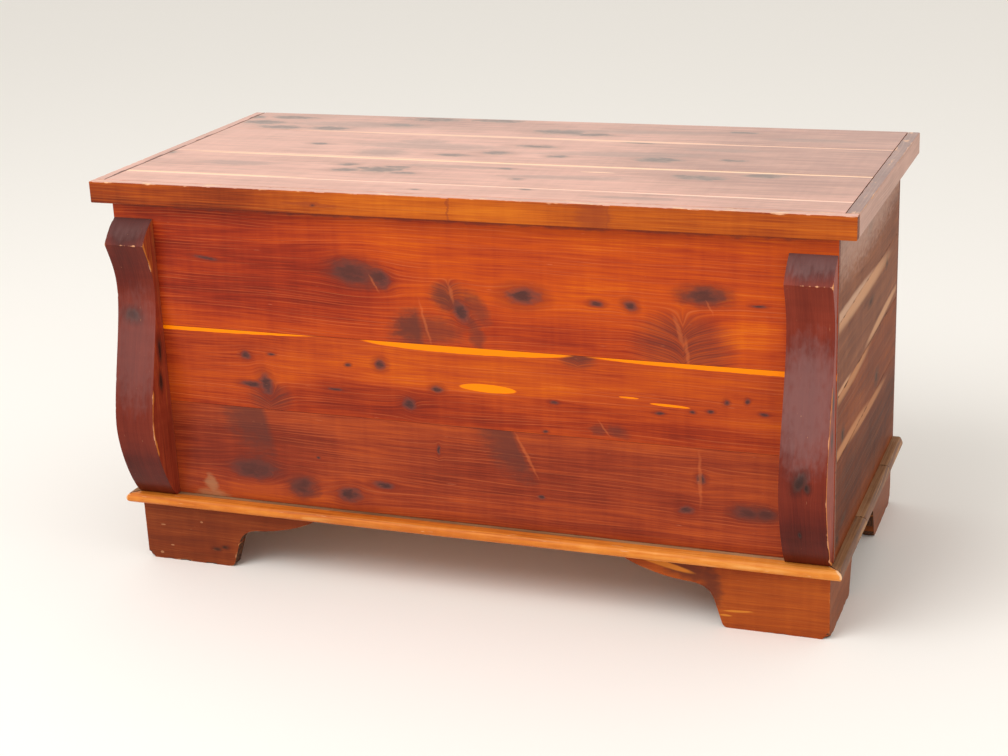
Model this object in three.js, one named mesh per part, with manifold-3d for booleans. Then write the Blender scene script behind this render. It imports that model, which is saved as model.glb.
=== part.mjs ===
// A blanket chest of aromatic red cedar, at its real size.
// Millimetres, X along the length, Y from front to back, Z up, origin on the floor under the middle.
// Walls of edge-glued boards stand on a bullnosed base frame with bracket feet, two scroll brackets
// dress the front corners, and a lid with an edge band turns on two butt hinges and a slotted stay.

import * as THREE from 'three';
import { mergeVertices } from 'three/addons/utils/BufferGeometryUtils.js';
import Module from 'manifold-3d';

const wasm = await Module();
wasm.setup();

// Joints: the space left at each glue line and seat, and how far a cutting shape runs past a face
const glueLine = 0.3;
const overrun = 5;

// Case: four walls of boards, the front and back rabbeted over the ends of the sides
const caseLength = 1067;
const caseDepth = 499.5;
const caseHeight = 466.4;
const wallThickness = 19;
const rabbetDepth = 9.5;
const floorThickness = 12;
const frontBoardShares = [0.318, 0.256, 0.426];
const backBoardShares = [0.36, 0.33, 0.31];
const leftBoardShares = [0.26, 0.24, 0.29, 0.21];
const rightBoardShares = [0.301, 0.199, 0.217, 0.283];
const floorBoardShares = [0.31, 0.36, 0.33];

// Base frame: boards laid flat, with a full bullnose on the front and sides
const railThickness = 15.5;
const frontRailProjection = 27.3;
const sideRailProjection = 16.7;
const railSeat = 45;
const railEndRadius = 9;
const rightRailShares = [0.37, 0.389, 0.241];

// Feet: boards with a sawn bracket outline, set back under the bullnose
const footHeight = 95.5;
const footThickness = 19;
const footSetback = 19;
const footSoleLength = 148;
const footLean = 12;
const footLegRise = 38;
const footCoveRun = 40;
const footCoveRise = 26.5;
const footWingRun = 100;
const footSoleRadius = 7;
const sideApronHeight = 22;
const glueBlockWidth = 40;
const glueBlockLift = 6;

// Scroll brackets: an S outline sawn from thick stock
const bracketWidth = 63.5;
const bracketInset = 0.8;
const bracketTopDrop = 37;
const bracketNoseOut = 34;
const bracketNoseDrop = 33;
const bracketWaistOut = 13.5;
const bracketWaistDrop = 105;
const bracketBellyOut = 57;
const bracketBellyRise = 120.5;
const bracketToeOut = 11;

// Lid: four boards in a band that hangs below them at the front and the ends
const lidEndOverhang = 25.5;
const lidFrontOverhang = 17.3;
const lidBackOverhang = 12;
const lidBoardThickness = 19;
const lidBandHeight = 32;
const nosingThickness = 16;
const cleatThickness = 18;
const bandArrisRadius = 2;
const lidBoardShares = [0.118, 0.285, 0.339, 0.258];

// Butt hinges: the knuckles lie behind the back wall, and both leaves in a mortise of its top edge
const hingeLength = 76;
const hingeEndDistance = 184;
const knuckleRadius = 3.5;
const knuckleGap = 0.4;
const knuckleCount = 5;
const leafThickness = 1.6;
const leafWidth = 19;
const pinRadius = 1.5;
const pinClearance = 0.3;
const pinHeadRadius = 2.4;
const pinHeadHeight = 1.2;
const screwHoleRadius = 1.9;
const screwHeadRadius = 3.4;
const screwHoleCount = 3;

// Lid stay: a slotted arm that hangs from the lid and slides over a stud on the left wall.
// The arm's pivot and the stud are as far from the hinge axis as each other, so the arm always
// turns half as far as the lid.
const lidOpenAngle = THREE.MathUtils.degToRad(95);
const stayReach = 180;
const stayRestAngle = THREE.MathUtils.degToRad(27.2);
const stayPivotDrop = 12.3;
const stayArmWidth = 16;
const stayArmThickness = 2.4;
const stayRivetRadius = 2.6;
const stayHeadRadius = 6;
const stayHeadThickness = 1.8;
const staySideGap = 0.4;
const slotClearance = 0.5;
const slotEndPlay = 1;
const studPlateThickness = 2.5;
const studPlateWidth = 20;
const studPlateHeight = 46;
const lidPlateWidth = 22;
const lidPlateLength = 60;
const lidEarRadius = 8.5;

// Smoothness of the curves, in segments
const scrollSteps = 9;
const footSteps = 6;
const bullnoseSteps = 7;
const roundSides = 16;

// Levels and planes that the sizes above give
const railBottom = footHeight + glueLine;
const railTop = railBottom + railThickness;
const wallBottom = railTop + glueLine;
const caseTop = wallBottom + caseHeight;
const lidUnderside = caseTop + glueLine;
const lidTop = lidUnderside + lidBoardThickness;
const lidBandBottom = lidTop - lidBandHeight;
const caseEnd = caseLength / 2;
const caseFront = (bracketBellyOut - caseDepth - lidBackOverhang) / 2;
const caseBack = caseFront + caseDepth;
const innerEnd = caseEnd - wallThickness;
const innerFront = caseFront + wallThickness;
const innerBack = caseBack - wallThickness;
const railFront = caseFront - frontRailProjection;
const railEnd = caseEnd + sideRailProjection;
const footFront = railFront + footSetback;
const footEnd = railEnd - footSetback;
const lidEnd = caseEnd + lidEndOverhang;
const lidFront = caseFront - lidFrontOverhang;
const lidBack = caseBack + lidBackOverhang;
const lidFieldFront = lidFront + nosingThickness + glueLine;
const lidFieldEnd = lidEnd - cleatThickness - glueLine;
const hingeAxisY = caseBack + knuckleRadius + knuckleGap;
const hingeAxisZ = lidUnderside - glueLine - knuckleRadius;

// Finishes
function finish(color, roughness, metalness = 0) {
  return new THREE.MeshStandardMaterial({ color, roughness, metalness, flatShading: true });
}
const varnishedCedar = finish(0xa8421c, 0.35);
const lidCedar = finish(0xb5705a, 0.3);
const bandCedar = finish(0xb5541c, 0.35);
const darkCedar = finish(0x6e2a1e, 0.35);
const sideCedar = finish(0x8a5a45, 0.5);
const honeyMoulding = finish(0xd07a30, 0.45);
const footCedar = finish(0x9a4420, 0.5);
const bareCedar = finish(0xc08a62, 0.75);
const platedSteel = finish(0xb09a5c, 0.4, 1);

// Geometry to solid and back, for the pieces that need a cut or a join
function solidOf(geometry) {
  const bare = geometry.clone();
  bare.deleteAttribute('normal');
  bare.deleteAttribute('uv');
  const merged = mergeVertices(bare);
  return new wasm.Manifold(
    new wasm.Mesh({
      numProp: 3,
      vertProperties: merged.attributes.position.array,
      triVerts: new Uint32Array(merged.index.array),
    }),
  );
}

function geometryOf(solid) {
  const { vertProperties, triVerts } = solid.getMesh();
  const geometry = new THREE.BufferGeometry();
  geometry.setAttribute('position', new THREE.BufferAttribute(vertProperties, 3));
  geometry.setIndex(new THREE.BufferAttribute(triVerts, 1));
  geometry.computeVertexNormals();
  return geometry;
}

function cut(geometry, tools) {
  return geometryOf(tools.reduce((rest, tool) => rest.subtract(solidOf(tool)), solidOf(geometry)));
}

function join(geometries) {
  return geometryOf(geometries.map(solidOf).reduce((whole, next) => whole.add(next)));
}

function trim(geometry, keep) {
  return geometryOf(solidOf(geometry).intersect(solidOf(keep)));
}

// Shapes placed in the chest's axes
function block([xLow, xHigh], [yLow, yHigh], [zLow, zHigh]) {
  const box = new THREE.BoxGeometry(xHigh - xLow, yHigh - yLow, zHigh - zLow);
  return box.translate((xLow + xHigh) / 2, (yLow + yHigh) / 2, (zLow + zHigh) / 2);
}

const axisX = new THREE.Vector3(1, 0, 0);
const axisY = new THREE.Vector3(0, 1, 0);
const axisZ = new THREE.Vector3(0, 0, 1);

function extrude(shape, length, curveSegments) {
  return new THREE.ExtrudeGeometry(shape, { depth: length, bevelEnabled: false, curveSegments });
}

// An outline in Y and Z, drawn out along X
function alongX(shape, [xLow, xHigh], curveSegments = roundSides) {
  const turn = new THREE.Matrix4().makeBasis(axisY, axisZ, axisX);
  return extrude(shape, xHigh - xLow, curveSegments).applyMatrix4(turn).translate(xLow, 0, 0);
}

// An outline in X and Z, drawn out along Y
function alongY(shape, [yLow, yHigh], curveSegments = roundSides) {
  const turn = new THREE.Matrix4().makeBasis(axisX, axisZ, axisY.clone().negate());
  return extrude(shape, yHigh - yLow, curveSegments).applyMatrix4(turn).translate(0, yHigh, 0);
}

// A plan in X and Y, drawn up along Z
function alongZ(shape, [zLow, zHigh], curveSegments = roundSides) {
  return extrude(shape, zHigh - zLow, curveSegments).translate(0, 0, zLow);
}

// A round bar with its axis along X
function roundBar(radius, [xLow, xHigh], y, z) {
  const bar = new THREE.CylinderGeometry(radius, radius, xHigh - xLow, roundSides);
  return bar.rotateZ(Math.PI / 2).translate((xLow + xHigh) / 2, y, z);
}

function outline(points) {
  return new THREE.Shape(points.map(([u, v]) => new THREE.Vector2(u, v)));
}

function mirrored(geometry, axis) {
  const scale = new THREE.Vector3(1, 1, 1);
  scale[axis] = -1;
  const copy = geometry.clone().applyMatrix4(new THREE.Matrix4().makeScale(scale.x, scale.y, scale.z));
  const flat = copy.index ? copy.toNonIndexed() : copy;
  const position = flat.getAttribute('position');
  const first = new THREE.Vector3();
  const last = new THREE.Vector3();
  for (let i = 0; i < position.count; i += 3) {
    first.fromBufferAttribute(position, i);
    last.fromBufferAttribute(position, i + 2);
    position.setXYZ(i, last.x, last.y, last.z);
    position.setXYZ(i + 2, first.x, first.y, first.z);
  }
  flat.computeVertexNormals();
  return flat;
}

// The low and high edges of boards that share a span, with a glue line between neighbours
function boardSpans(low, high, shares) {
  const total = shares.reduce((sum, share) => sum + share, 0);
  const usable = high - low - glueLine * (shares.length - 1);
  let start = low;
  return shares.map((share) => {
    const span = [start, start + (usable * share) / total];
    start = span[1] + glueLine;
    return span;
  });
}

const chest = new THREE.Group();

function addPiece(group, name, geometry, material) {
  const mesh = new THREE.Mesh(geometry, material);
  mesh.name = name;
  group.add(mesh);
}

// Walls

// The plan of a front board: full length, with a rabbet behind each end for the side boards
function frontBoardPlan() {
  const shoulder = innerEnd - glueLine;
  const lip = innerFront - rabbetDepth;
  return outline([
    [-caseEnd, caseFront],
    [caseEnd, caseFront],
    [caseEnd, lip],
    [shoulder, lip],
    [shoulder, innerFront],
    [-shoulder, innerFront],
    [-shoulder, lip],
    [-caseEnd, lip],
  ]);
}

function mirrorDepth(geometry) {
  return mirrored(geometry.clone().translate(0, -(caseFront + caseBack) / 2, 0), 'y').translate(
    0,
    (caseFront + caseBack) / 2,
    0,
  );
}

function hingeCentres() {
  return [-1, 1].map((side) => side * (caseEnd - hingeEndDistance));
}

// The pocket in the back wall's top edge that holds both leaves of one hinge
function hingeMortise(centre) {
  const halfLength = hingeLength / 2 + glueLine;
  return block(
    [centre - halfLength, centre + halfLength],
    [hingeAxisY - leafWidth - glueLine, caseBack + overrun],
    [hingeAxisZ - knuckleRadius - glueLine, caseTop + overrun],
  );
}

function buildWalls(group) {
  const wall = [wallBottom, caseTop];
  const rowNames = ['lower', 'middle', 'upper'];
  const sideRowNames = ['bottom', 'lower', 'upper', 'top'];

  boardSpans(...wall, frontBoardShares).forEach((span, i) => {
    addPiece(group, `front_board_${rowNames[i]}`, alongZ(frontBoardPlan(), span), varnishedCedar);
  });

  boardSpans(...wall, backBoardShares).forEach((span, i) => {
    const board = mirrorDepth(alongZ(frontBoardPlan(), span));
    const isTop = i === backBoardShares.length - 1;
    const geometry = isTop ? cut(board, hingeCentres().map(hingeMortise)) : board;
    addPiece(group, `back_board_${rowNames[i]}`, geometry, sideCedar);
  });

  const sideDepth = [innerFront - rabbetDepth + glueLine, innerBack + rabbetDepth - glueLine];
  const sides = { left: [-caseEnd, -innerEnd], right: [innerEnd, caseEnd] };
  const sideShares = { left: leftBoardShares, right: rightBoardShares };
  for (const [side, width] of Object.entries(sides)) {
    boardSpans(...wall, sideShares[side]).forEach((span, i) => {
      addPiece(group, `${side}_board_${sideRowNames[i]}`, block(width, sideDepth, span), sideCedar);
    });
  }
}

function buildFloor(group) {
  const reach = innerEnd - glueLine;
  const level = [wallBottom, wallBottom + floorThickness];
  const names = ['front', 'middle', 'rear'];
  boardSpans(innerFront + glueLine, innerBack - glueLine, floorBoardShares).forEach((span, i) => {
    addPiece(group, `floor_board_${names[i]}`, block([-reach, reach], span, level), bareCedar);
  });
}

// Base frame

// The section of a rail: flat where the case stands, half round at its outer edge
function bullnoseSection(inner, outer) {
  const out = Math.sign(outer - inner);
  const radius = railThickness / 2;
  const middle = railBottom + radius;
  const centre = outer - out * radius;
  const shape = new THREE.Shape();
  shape.moveTo(inner, railBottom);
  shape.lineTo(centre, railBottom);
  for (let i = 1; i < bullnoseSteps; i += 1) {
    const angle = -Math.PI / 2 + (Math.PI * i) / bullnoseSteps;
    shape.lineTo(centre + out * radius * Math.cos(angle), middle + radius * Math.sin(angle));
  }
  shape.lineTo(centre, railTop);
  shape.lineTo(inner, railTop);
  shape.closePath();
  return shape;
}

function planTrim(points) {
  return alongZ(outline(points), [railBottom - overrun, railTop + overrun]);
}

// Where the front and side rails meet in a mitre, from the outer corner to the inner one
const railInnerFront = caseFront + railSeat;
const railInnerEnd = caseEnd - railSeat;

function frontRail() {
  const bar = alongX(bullnoseSection(railInnerFront, railFront), [-railEnd, railEnd]);
  const keep = planTrim([
    [-railEnd, railFront],
    [railEnd, railFront],
    [railInnerEnd, railInnerFront],
    [-railInnerEnd, railInnerFront],
  ]);
  return trim(bar, keep);
}

// The plan of the right rail: mitred at the front, its outer corner rounded at the back
function sideRailPlan() {
  const shape = new THREE.Shape();
  shape.moveTo(railInnerEnd, railInnerFront + glueLine);
  shape.lineTo(railEnd, railFront + glueLine);
  shape.lineTo(railEnd, caseBack - railEndRadius);
  shape.absarc(railEnd - railEndRadius, caseBack - railEndRadius, railEndRadius, 0, Math.PI / 2, false);
  shape.lineTo(railInnerEnd, caseBack);
  shape.closePath();
  return shape;
}

function rightRail([yLow, yHigh]) {
  const bar = alongY(bullnoseSection(railInnerEnd, railEnd), [yLow, yHigh]);
  return trim(bar, alongZ(sideRailPlan(), [railBottom - overrun, railTop + overrun], footSteps));
}

function buildBaseFrame(group) {
  addPiece(group, 'base_moulding_front', frontRail(), honeyMoulding);
  addPiece(group, 'base_moulding_left', mirrored(rightRail([railFront, caseBack]), 'x'), honeyMoulding);
  const names = ['front', 'middle', 'rear'];
  boardSpans(railFront, caseBack, rightRailShares).forEach((span, i) => {
    addPiece(group, `base_moulding_right_${names[i]}`, rightRail(span), honeyMoulding);
  });
  const reach = railInnerEnd - glueLine;
  const backRail = block([-reach, reach], [caseBack - railSeat, caseBack], [railBottom, railTop]);
  addPiece(group, 'base_frame_back', backRail, bareCedar);
}

// Feet

// The outline of a bracket foot, from its outer end inwards: a sole, a leg that leans in,
// a cove and a wing that sweeps up to the frame
function footOutline() {
  const legTop = footSoleLength + footLean;
  const coveEnd = legTop + footCoveRun;
  const coveTop = footLegRise + footCoveRise;
  const wingEnd = coveEnd + footWingRun;
  const shape = new THREE.Shape();
  shape.moveTo(0, 0);
  shape.lineTo(footSoleLength - footSoleRadius, 0);
  shape.quadraticCurveTo(footSoleLength, 0, footSoleLength + footSoleRadius * 0.3, footSoleRadius);
  shape.lineTo(legTop, footLegRise);
  shape.bezierCurveTo(
    legTop + footCoveRun * 0.12,
    footLegRise + footCoveRise * 0.65,
    legTop + footCoveRun * 0.4,
    coveTop - footCoveRise * 0.04,
    coveEnd,
    coveTop,
  );
  shape.bezierCurveTo(
    coveEnd + footWingRun * 0.35,
    coveTop + (footHeight - coveTop) * 0.09,
    coveEnd + footWingRun * 0.75,
    coveTop + (footHeight - coveTop) * 0.45,
    wingEnd,
    footHeight,
  );
  shape.lineTo(0, footHeight);
  shape.closePath();
  return shape;
}

const footPlanLow = -overrun;
const footPlanHigh = footHeight + overrun;

// The right front foot's face board, mitred at the corner
function frontFootBoard() {
  const length = [footFront, footFront + footThickness];
  const board = alongY(footOutline(), [-length[1], -length[0]], footSteps);
  const placed = board.rotateZ(Math.PI).translate(footEnd, 0, 0);
  const far = footEnd - footSoleLength - footLean - footCoveRun - footWingRun - overrun;
  const corner = outline([
    [footEnd + overrun, footFront - overrun],
    [footEnd - footThickness - overrun, footFront + footThickness + overrun],
    [far, footFront + footThickness + overrun],
    [far, footFront - overrun],
  ]);
  return trim(placed, alongZ(corner, [footPlanLow, footPlanHigh]));
}

// The right side board: a foot at each end, with their wings and a low apron joined between them
function sideFootBoard() {
  const width = [footEnd - footThickness, footEnd];
  const frontFoot = alongX(footOutline(), width, footSteps).translate(0, footFront, 0);
  const rearFoot = mirrored(alongX(footOutline(), width, footSteps), 'y').translate(0, caseBack, 0);
  const apron = block(
    width,
    [footFront + footSoleLength, caseBack - footSoleLength],
    [footHeight - sideApronHeight, footHeight],
  );
  const both = join([frontFoot, rearFoot, apron]);
  const mitreGap = glueLine * Math.SQRT2;
  const keep = outline([
    [footEnd + overrun, footFront - overrun + mitreGap],
    [footEnd + overrun, caseBack],
    [footEnd - footThickness - overrun, caseBack],
    [footEnd - footThickness - overrun, footFront + footThickness + overrun + mitreGap],
  ]);
  return trim(both, alongZ(keep, [footPlanLow, footPlanHigh]));
}

// The right rear foot's back board, butted against the side board
function backFootBoard() {
  const board = alongY(footOutline(), [-caseBack, -caseBack + footThickness], footSteps);
  const placed = board.rotateZ(Math.PI).translate(footEnd, 0, 0);
  const reach = [0, footEnd - footThickness - glueLine];
  return trim(placed, block(reach, [innerFront, caseBack + overrun], [footPlanLow, footPlanHigh]));
}

function glueBlock(yLow) {
  const outer = footEnd - footThickness - glueLine;
  return block([outer - glueBlockWidth, outer], [yLow, yLow + glueBlockWidth], [glueBlockLift, footHeight]);
}

function buildFeet(group) {
  const frontBlock = footFront + footThickness + glueLine;
  const rearBlock = caseBack - footThickness - glueLine - glueBlockWidth;
  const pieces = {
    front_foot_board: frontFootBoard(),
    side_foot_board: sideFootBoard(),
    back_foot_board: backFootBoard(),
    front_glue_block: glueBlock(frontBlock),
    rear_glue_block: glueBlock(rearBlock),
  };
  for (const [name, geometry] of Object.entries(pieces)) {
    const material = name.includes('block') ? bareCedar : footCedar;
    addPiece(group, `right_${name}`, geometry, material);
    addPiece(group, `left_${name}`, mirrored(geometry, 'x'), material);
  }
}

// Scroll brackets

// The S outline in Y and Z: a sloping top, a sharp nose, a hollow neck, a full belly and a toe
function bracketOutline() {
  const back = caseFront - glueLine;
  const top = caseTop - bracketTopDrop;
  const nose = [back - bracketNoseOut, top - bracketNoseDrop];
  const waist = [back - bracketWaistOut, top - bracketWaistDrop];
  const belly = [back - bracketBellyOut + glueLine, wallBottom + bracketBellyRise];
  const toe = [back - bracketToeOut, wallBottom];
  const neck = nose[1] - waist[1];
  const swell = waist[1] - belly[1];
  const shape = new THREE.Shape();
  shape.moveTo(back, toe[1]);
  shape.lineTo(back, top);
  shape.quadraticCurveTo(back - bracketNoseOut * 0.62, top - bracketNoseDrop * 0.38, ...nose);
  shape.bezierCurveTo(
    nose[0] + (waist[0] - nose[0]) * 0.65,
    nose[1] - neck * 0.42,
    waist[0],
    waist[1] + neck * 0.36,
    ...waist,
  );
  shape.bezierCurveTo(waist[0], waist[1] - swell * 0.25, belly[0], belly[1] + swell * 0.25, ...belly);
  shape.bezierCurveTo(
    belly[0],
    belly[1] - bracketBellyRise * 0.31,
    toe[0] + (belly[0] - toe[0]) * 0.5,
    toe[1] + bracketBellyRise * 0.2,
    ...toe,
  );
  shape.closePath();
  return shape;
}

function buildBrackets(group) {
  const outer = caseEnd - bracketInset;
  const right = alongX(bracketOutline(), [outer - bracketWidth, outer], scrollSteps);
  addPiece(group, 'right_scroll_bracket', right, darkCedar);
  addPiece(group, 'left_scroll_bracket', mirrored(right, 'x'), darkCedar);
}

// Lid

// A band's section: a rectangle whose outer arrises are eased
function bandSection(inner, outer) {
  const out = Math.sign(outer - inner);
  const radius = bandArrisRadius;
  const shape = new THREE.Shape();
  shape.moveTo(inner, lidBandBottom);
  shape.lineTo(outer - out * radius, lidBandBottom);
  shape.quadraticCurveTo(outer, lidBandBottom, outer, lidBandBottom + radius);
  shape.lineTo(outer, lidTop - radius);
  shape.quadraticCurveTo(outer, lidTop, outer - out * radius, lidTop);
  shape.lineTo(inner, lidTop);
  shape.closePath();
  return shape;
}

function buildLid(group) {
  const names = ['front', 'second', 'third', 'rear'];
  boardSpans(lidFieldFront, lidBack, lidBoardShares).forEach((span, i) => {
    const board = block([-lidFieldEnd, lidFieldEnd], span, [lidUnderside, lidTop]);
    addPiece(group, `lid_board_${names[i]}`, board, lidCedar);
  });

  const nosing = alongX(bandSection(lidFront + nosingThickness, lidFront), [-lidEnd, lidEnd], bullnoseSteps);
  addPiece(group, 'lid_front_nosing', nosing, bandCedar);

  const cleat = alongY(bandSection(lidEnd - cleatThickness, lidEnd), [lidFieldFront, lidBack], bullnoseSteps);
  addPiece(group, 'lid_right_end_cleat', cleat, bandCedar);
  addPiece(group, 'lid_left_end_cleat', mirrored(cleat, 'x'), bandCedar);
}

// Hinges

// The knuckles along a hinge at the origin: their ends, the case leaf's first, in turn
function knuckleSpans() {
  const pitch = hingeLength / knuckleCount;
  return Array.from({ length: knuckleCount }, (_, i) => {
    const start = -hingeLength / 2 + i * pitch;
    return [start + (i ? knuckleGap / 2 : 0), start + pitch - (i < knuckleCount - 1 ? knuckleGap / 2 : 0)];
  });
}

// A countersunk screw hole through a leaf whose open face looks up
function screwHole(x, y, open) {
  const through = new THREE.CylinderGeometry(screwHoleRadius, screwHoleRadius, leafThickness * 4, roundSides);
  const sink = new THREE.CylinderGeometry(
    screwHeadRadius + glueLine,
    screwHoleRadius,
    leafThickness + glueLine,
    roundSides,
  );
  through.rotateX(Math.PI / 2);
  sink.rotateX(Math.PI / 2);
  return [through.translate(x, y, open), sink.translate(x, y, open + glueLine - (leafThickness + glueLine) / 2)];
}

// The leaf under the axis, with the even knuckles, or with the odd ones if it is for the lid
function hingeLeaf(firstKnuckle) {
  const low = -knuckleRadius;
  const high = low + leafThickness;
  const root = -knuckleRadius - knuckleGap;
  const half = hingeLength / 2;
  const plate = block([-half, half], [-leafWidth, root], [low, high]);
  const knuckles = knuckleSpans().filter((_, i) => i % 2 === firstKnuckle);
  const barrels = knuckles.map((span) => roundBar(knuckleRadius, span, 0, 0));
  const tabs = knuckles.map((span) => block(span, [root - leafThickness, 0], [low, high]));
  const bore = roundBar(pinRadius + pinClearance, [-half - overrun, half + overrun], 0, 0);
  const pitch = hingeLength / screwHoleCount;
  const middle = (root - leafWidth) / 2;
  const holes = Array.from({ length: screwHoleCount }, (_, i) =>
    screwHole(-half + pitch * (i + 0.5), middle, high),
  ).flat();
  return cut(join([plate, ...barrels, ...tabs]), [bore, ...holes]);
}

function hingePin() {
  const half = hingeLength / 2;
  const shank = roundBar(pinRadius, [-half - glueLine, half + glueLine], 0, 0);
  const heads = [-1, 1].map((end) => {
    const ends = [end * (half + glueLine), end * (half + glueLine + pinHeadHeight)];
    return roundBar(pinHeadRadius, ends.sort((a, b) => a - b), 0, 0);
  });
  return join([shank, ...heads]);
}

function buildHinges(caseGroup, lidGroup) {
  const names = ['left', 'right'];
  hingeCentres().forEach((centre, i) => {
    const place = (geometry) => geometry.translate(centre, hingeAxisY, hingeAxisZ);
    addPiece(caseGroup, `${names[i]}_hinge_case_leaf`, place(hingeLeaf(0)), platedSteel);
    addPiece(caseGroup, `${names[i]}_hinge_pin`, place(hingePin()), platedSteel);
    addPiece(lidGroup, `${names[i]}_hinge_lid_leaf`, place(mirrored(hingeLeaf(1), 'z')), platedSteel);
  });
}

// Lid stay

// The places of the arm's pivot and of the stud, both at the stay's reach from the hinge axis
const pivotZ = lidUnderside - stayPivotDrop;
const pivotDip = Math.asin((hingeAxisZ - pivotZ) / stayReach);
const pivotY = hingeAxisY - stayReach * Math.cos(pivotDip);
const studDip = pivotDip + stayRestAngle;
const studY = hingeAxisY - stayReach * Math.cos(studDip);
const studZ = hingeAxisZ - stayReach * Math.sin(studDip);
const closedSpan = 2 * stayReach * Math.sin(stayRestAngle / 2);
const openSpan = 2 * stayReach * Math.sin((stayRestAngle + lidOpenAngle) / 2);

// Layers of the stay, inwards from the left wall
const plateFace = -innerEnd + glueLine + studPlateThickness;
const armOuter = plateFace + stayHeadThickness + staySideGap;
const armInner = armOuter + stayArmThickness;
const earOuter = armInner + staySideGap;
const earInner = earOuter + stayArmThickness;

// A flat bar with round ends, and its slot, hanging down from the pivot
function stayArm() {
  const half = stayArmWidth / 2;
  const slotHalf = stayRivetRadius + slotClearance;
  const slotTop = closedSpan - slotEndPlay;
  const slotEnd = openSpan + slotEndPlay;
  const bar = new THREE.Shape();
  bar.moveTo(half, 0);
  bar.absarc(0, 0, half, 0, Math.PI, false);
  bar.lineTo(-half, -slotEnd);
  bar.absarc(0, -slotEnd, half, Math.PI, Math.PI * 2, false);
  bar.closePath();
  const slot = new THREE.Path();
  slot.moveTo(slotHalf, -slotTop);
  slot.absarc(0, -slotTop, slotHalf, 0, Math.PI, false);
  slot.lineTo(-slotHalf, -slotEnd);
  slot.absarc(0, -slotEnd, slotHalf, Math.PI, Math.PI * 2, false);
  slot.closePath();
  const eye = new THREE.Path();
  eye.absarc(0, 0, stayRivetRadius + slotClearance, 0, Math.PI * 2, false);
  bar.holes.push(slot, eye);
  const hang = Math.atan2(studY - pivotY, pivotZ - studZ);
  return alongX(bar, [armOuter, armInner]).rotateX(hang).translate(0, pivotY, pivotZ);
}

// The plate on the wall with the stud that the slot slides over
function studPlate() {
  const halfWidth = studPlateWidth / 2;
  const halfHeight = studPlateHeight / 2;
  const plate = block(
    [-innerEnd + glueLine, plateFace],
    [studY - halfWidth, studY + halfWidth],
    [studZ - halfHeight, studZ + halfHeight],
  );
  const shoulder = roundBar(stayHeadRadius, [-innerEnd + glueLine, armOuter - staySideGap], studY, studZ);
  const stud = roundBar(stayRivetRadius, [plateFace - glueLine, earInner], studY, studZ);
  const head = roundBar(stayHeadRadius, [earOuter, earInner], studY, studZ);
  const screws = [-1, 1].map((end) =>
    roundBar(
      screwHoleRadius,
      [-innerEnd - overrun, plateFace + overrun],
      studY,
      studZ + end * (halfHeight - screwHeadRadius * 2),
    ),
  );
  return cut(join([plate, shoulder, stud, head]), screws);
}

// The angle plate under the lid: a flange for screws and an ear for the arm's rivet
function lidPlate() {
  const half = lidPlateLength / 2;
  const top = lidUnderside - glueLine;
  const flange = block(
    [earOuter, earOuter + lidPlateWidth],
    [pivotY - half, pivotY + half],
    [top - stayArmThickness, top],
  );
  const ear = new THREE.Shape();
  ear.moveTo(lidEarRadius, pivotZ);
  ear.lineTo(lidEarRadius, top);
  ear.lineTo(-lidEarRadius, top);
  ear.lineTo(-lidEarRadius, pivotZ);
  ear.absarc(0, pivotZ, lidEarRadius, Math.PI, Math.PI * 2, false);
  ear.closePath();
  const earSolid = alongX(ear, [earOuter, earInner]).translate(0, pivotY, 0);
  const rivetHole = roundBar(
    stayRivetRadius + glueLine,
    [earOuter - overrun, earInner + overrun],
    pivotY,
    pivotZ,
  );
  const screws = [-1, 1].map((end) => {
    const hole = new THREE.CylinderGeometry(screwHoleRadius, screwHoleRadius, overrun * 2, roundSides);
    const y = pivotY + end * (half - screwHeadRadius * 2);
    return hole.rotateX(Math.PI / 2).translate(earOuter + lidPlateWidth / 2, y, top);
  });
  return cut(join([flange, earSolid]), [rivetHole, ...screws]);
}

function stayRivet() {
  const outerHead = [armOuter - staySideGap - stayHeadThickness, armOuter - staySideGap];
  const innerHead = [earInner + glueLine, earInner + glueLine + stayHeadThickness];
  return join([
    roundBar(stayRivetRadius, [outerHead[0], innerHead[1]], pivotY, pivotZ),
    roundBar(stayHeadRadius, outerHead, pivotY, pivotZ),
    roundBar(stayHeadRadius, innerHead, pivotY, pivotZ),
  ]);
}

function buildStay(caseGroup, lidGroup) {
  addPiece(caseGroup, 'stay_stud_plate', studPlate(), platedSteel);
  addPiece(lidGroup, 'stay_lid_plate', lidPlate(), platedSteel);
  addPiece(lidGroup, 'stay_rivet', stayRivet(), platedSteel);
  addPiece(lidGroup, 'stay_slotted_arm', stayArm(), platedSteel);
}

const caseGroup = new THREE.Group();
const lidGroup = new THREE.Group();
chest.add(caseGroup, lidGroup);

buildWalls(caseGroup);
buildFloor(caseGroup);
buildBaseFrame(caseGroup);
buildFeet(caseGroup);
buildBrackets(caseGroup);
buildLid(lidGroup);
buildHinges(caseGroup, lidGroup);
buildStay(caseGroup, lidGroup);

export default chest;
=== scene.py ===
"""A blanket chest of aromatic red cedar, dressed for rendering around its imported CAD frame."""

import logging
import math
import random
from dataclasses import dataclass, field, replace
from enum import Enum, StrEnum
from typing import Callable, Iterable, Iterator, Sequence

import bmesh
import bpy
from mathutils import Matrix, Vector, kdtree, noise
from mathutils.geometry import interpolate_bezier


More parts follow.
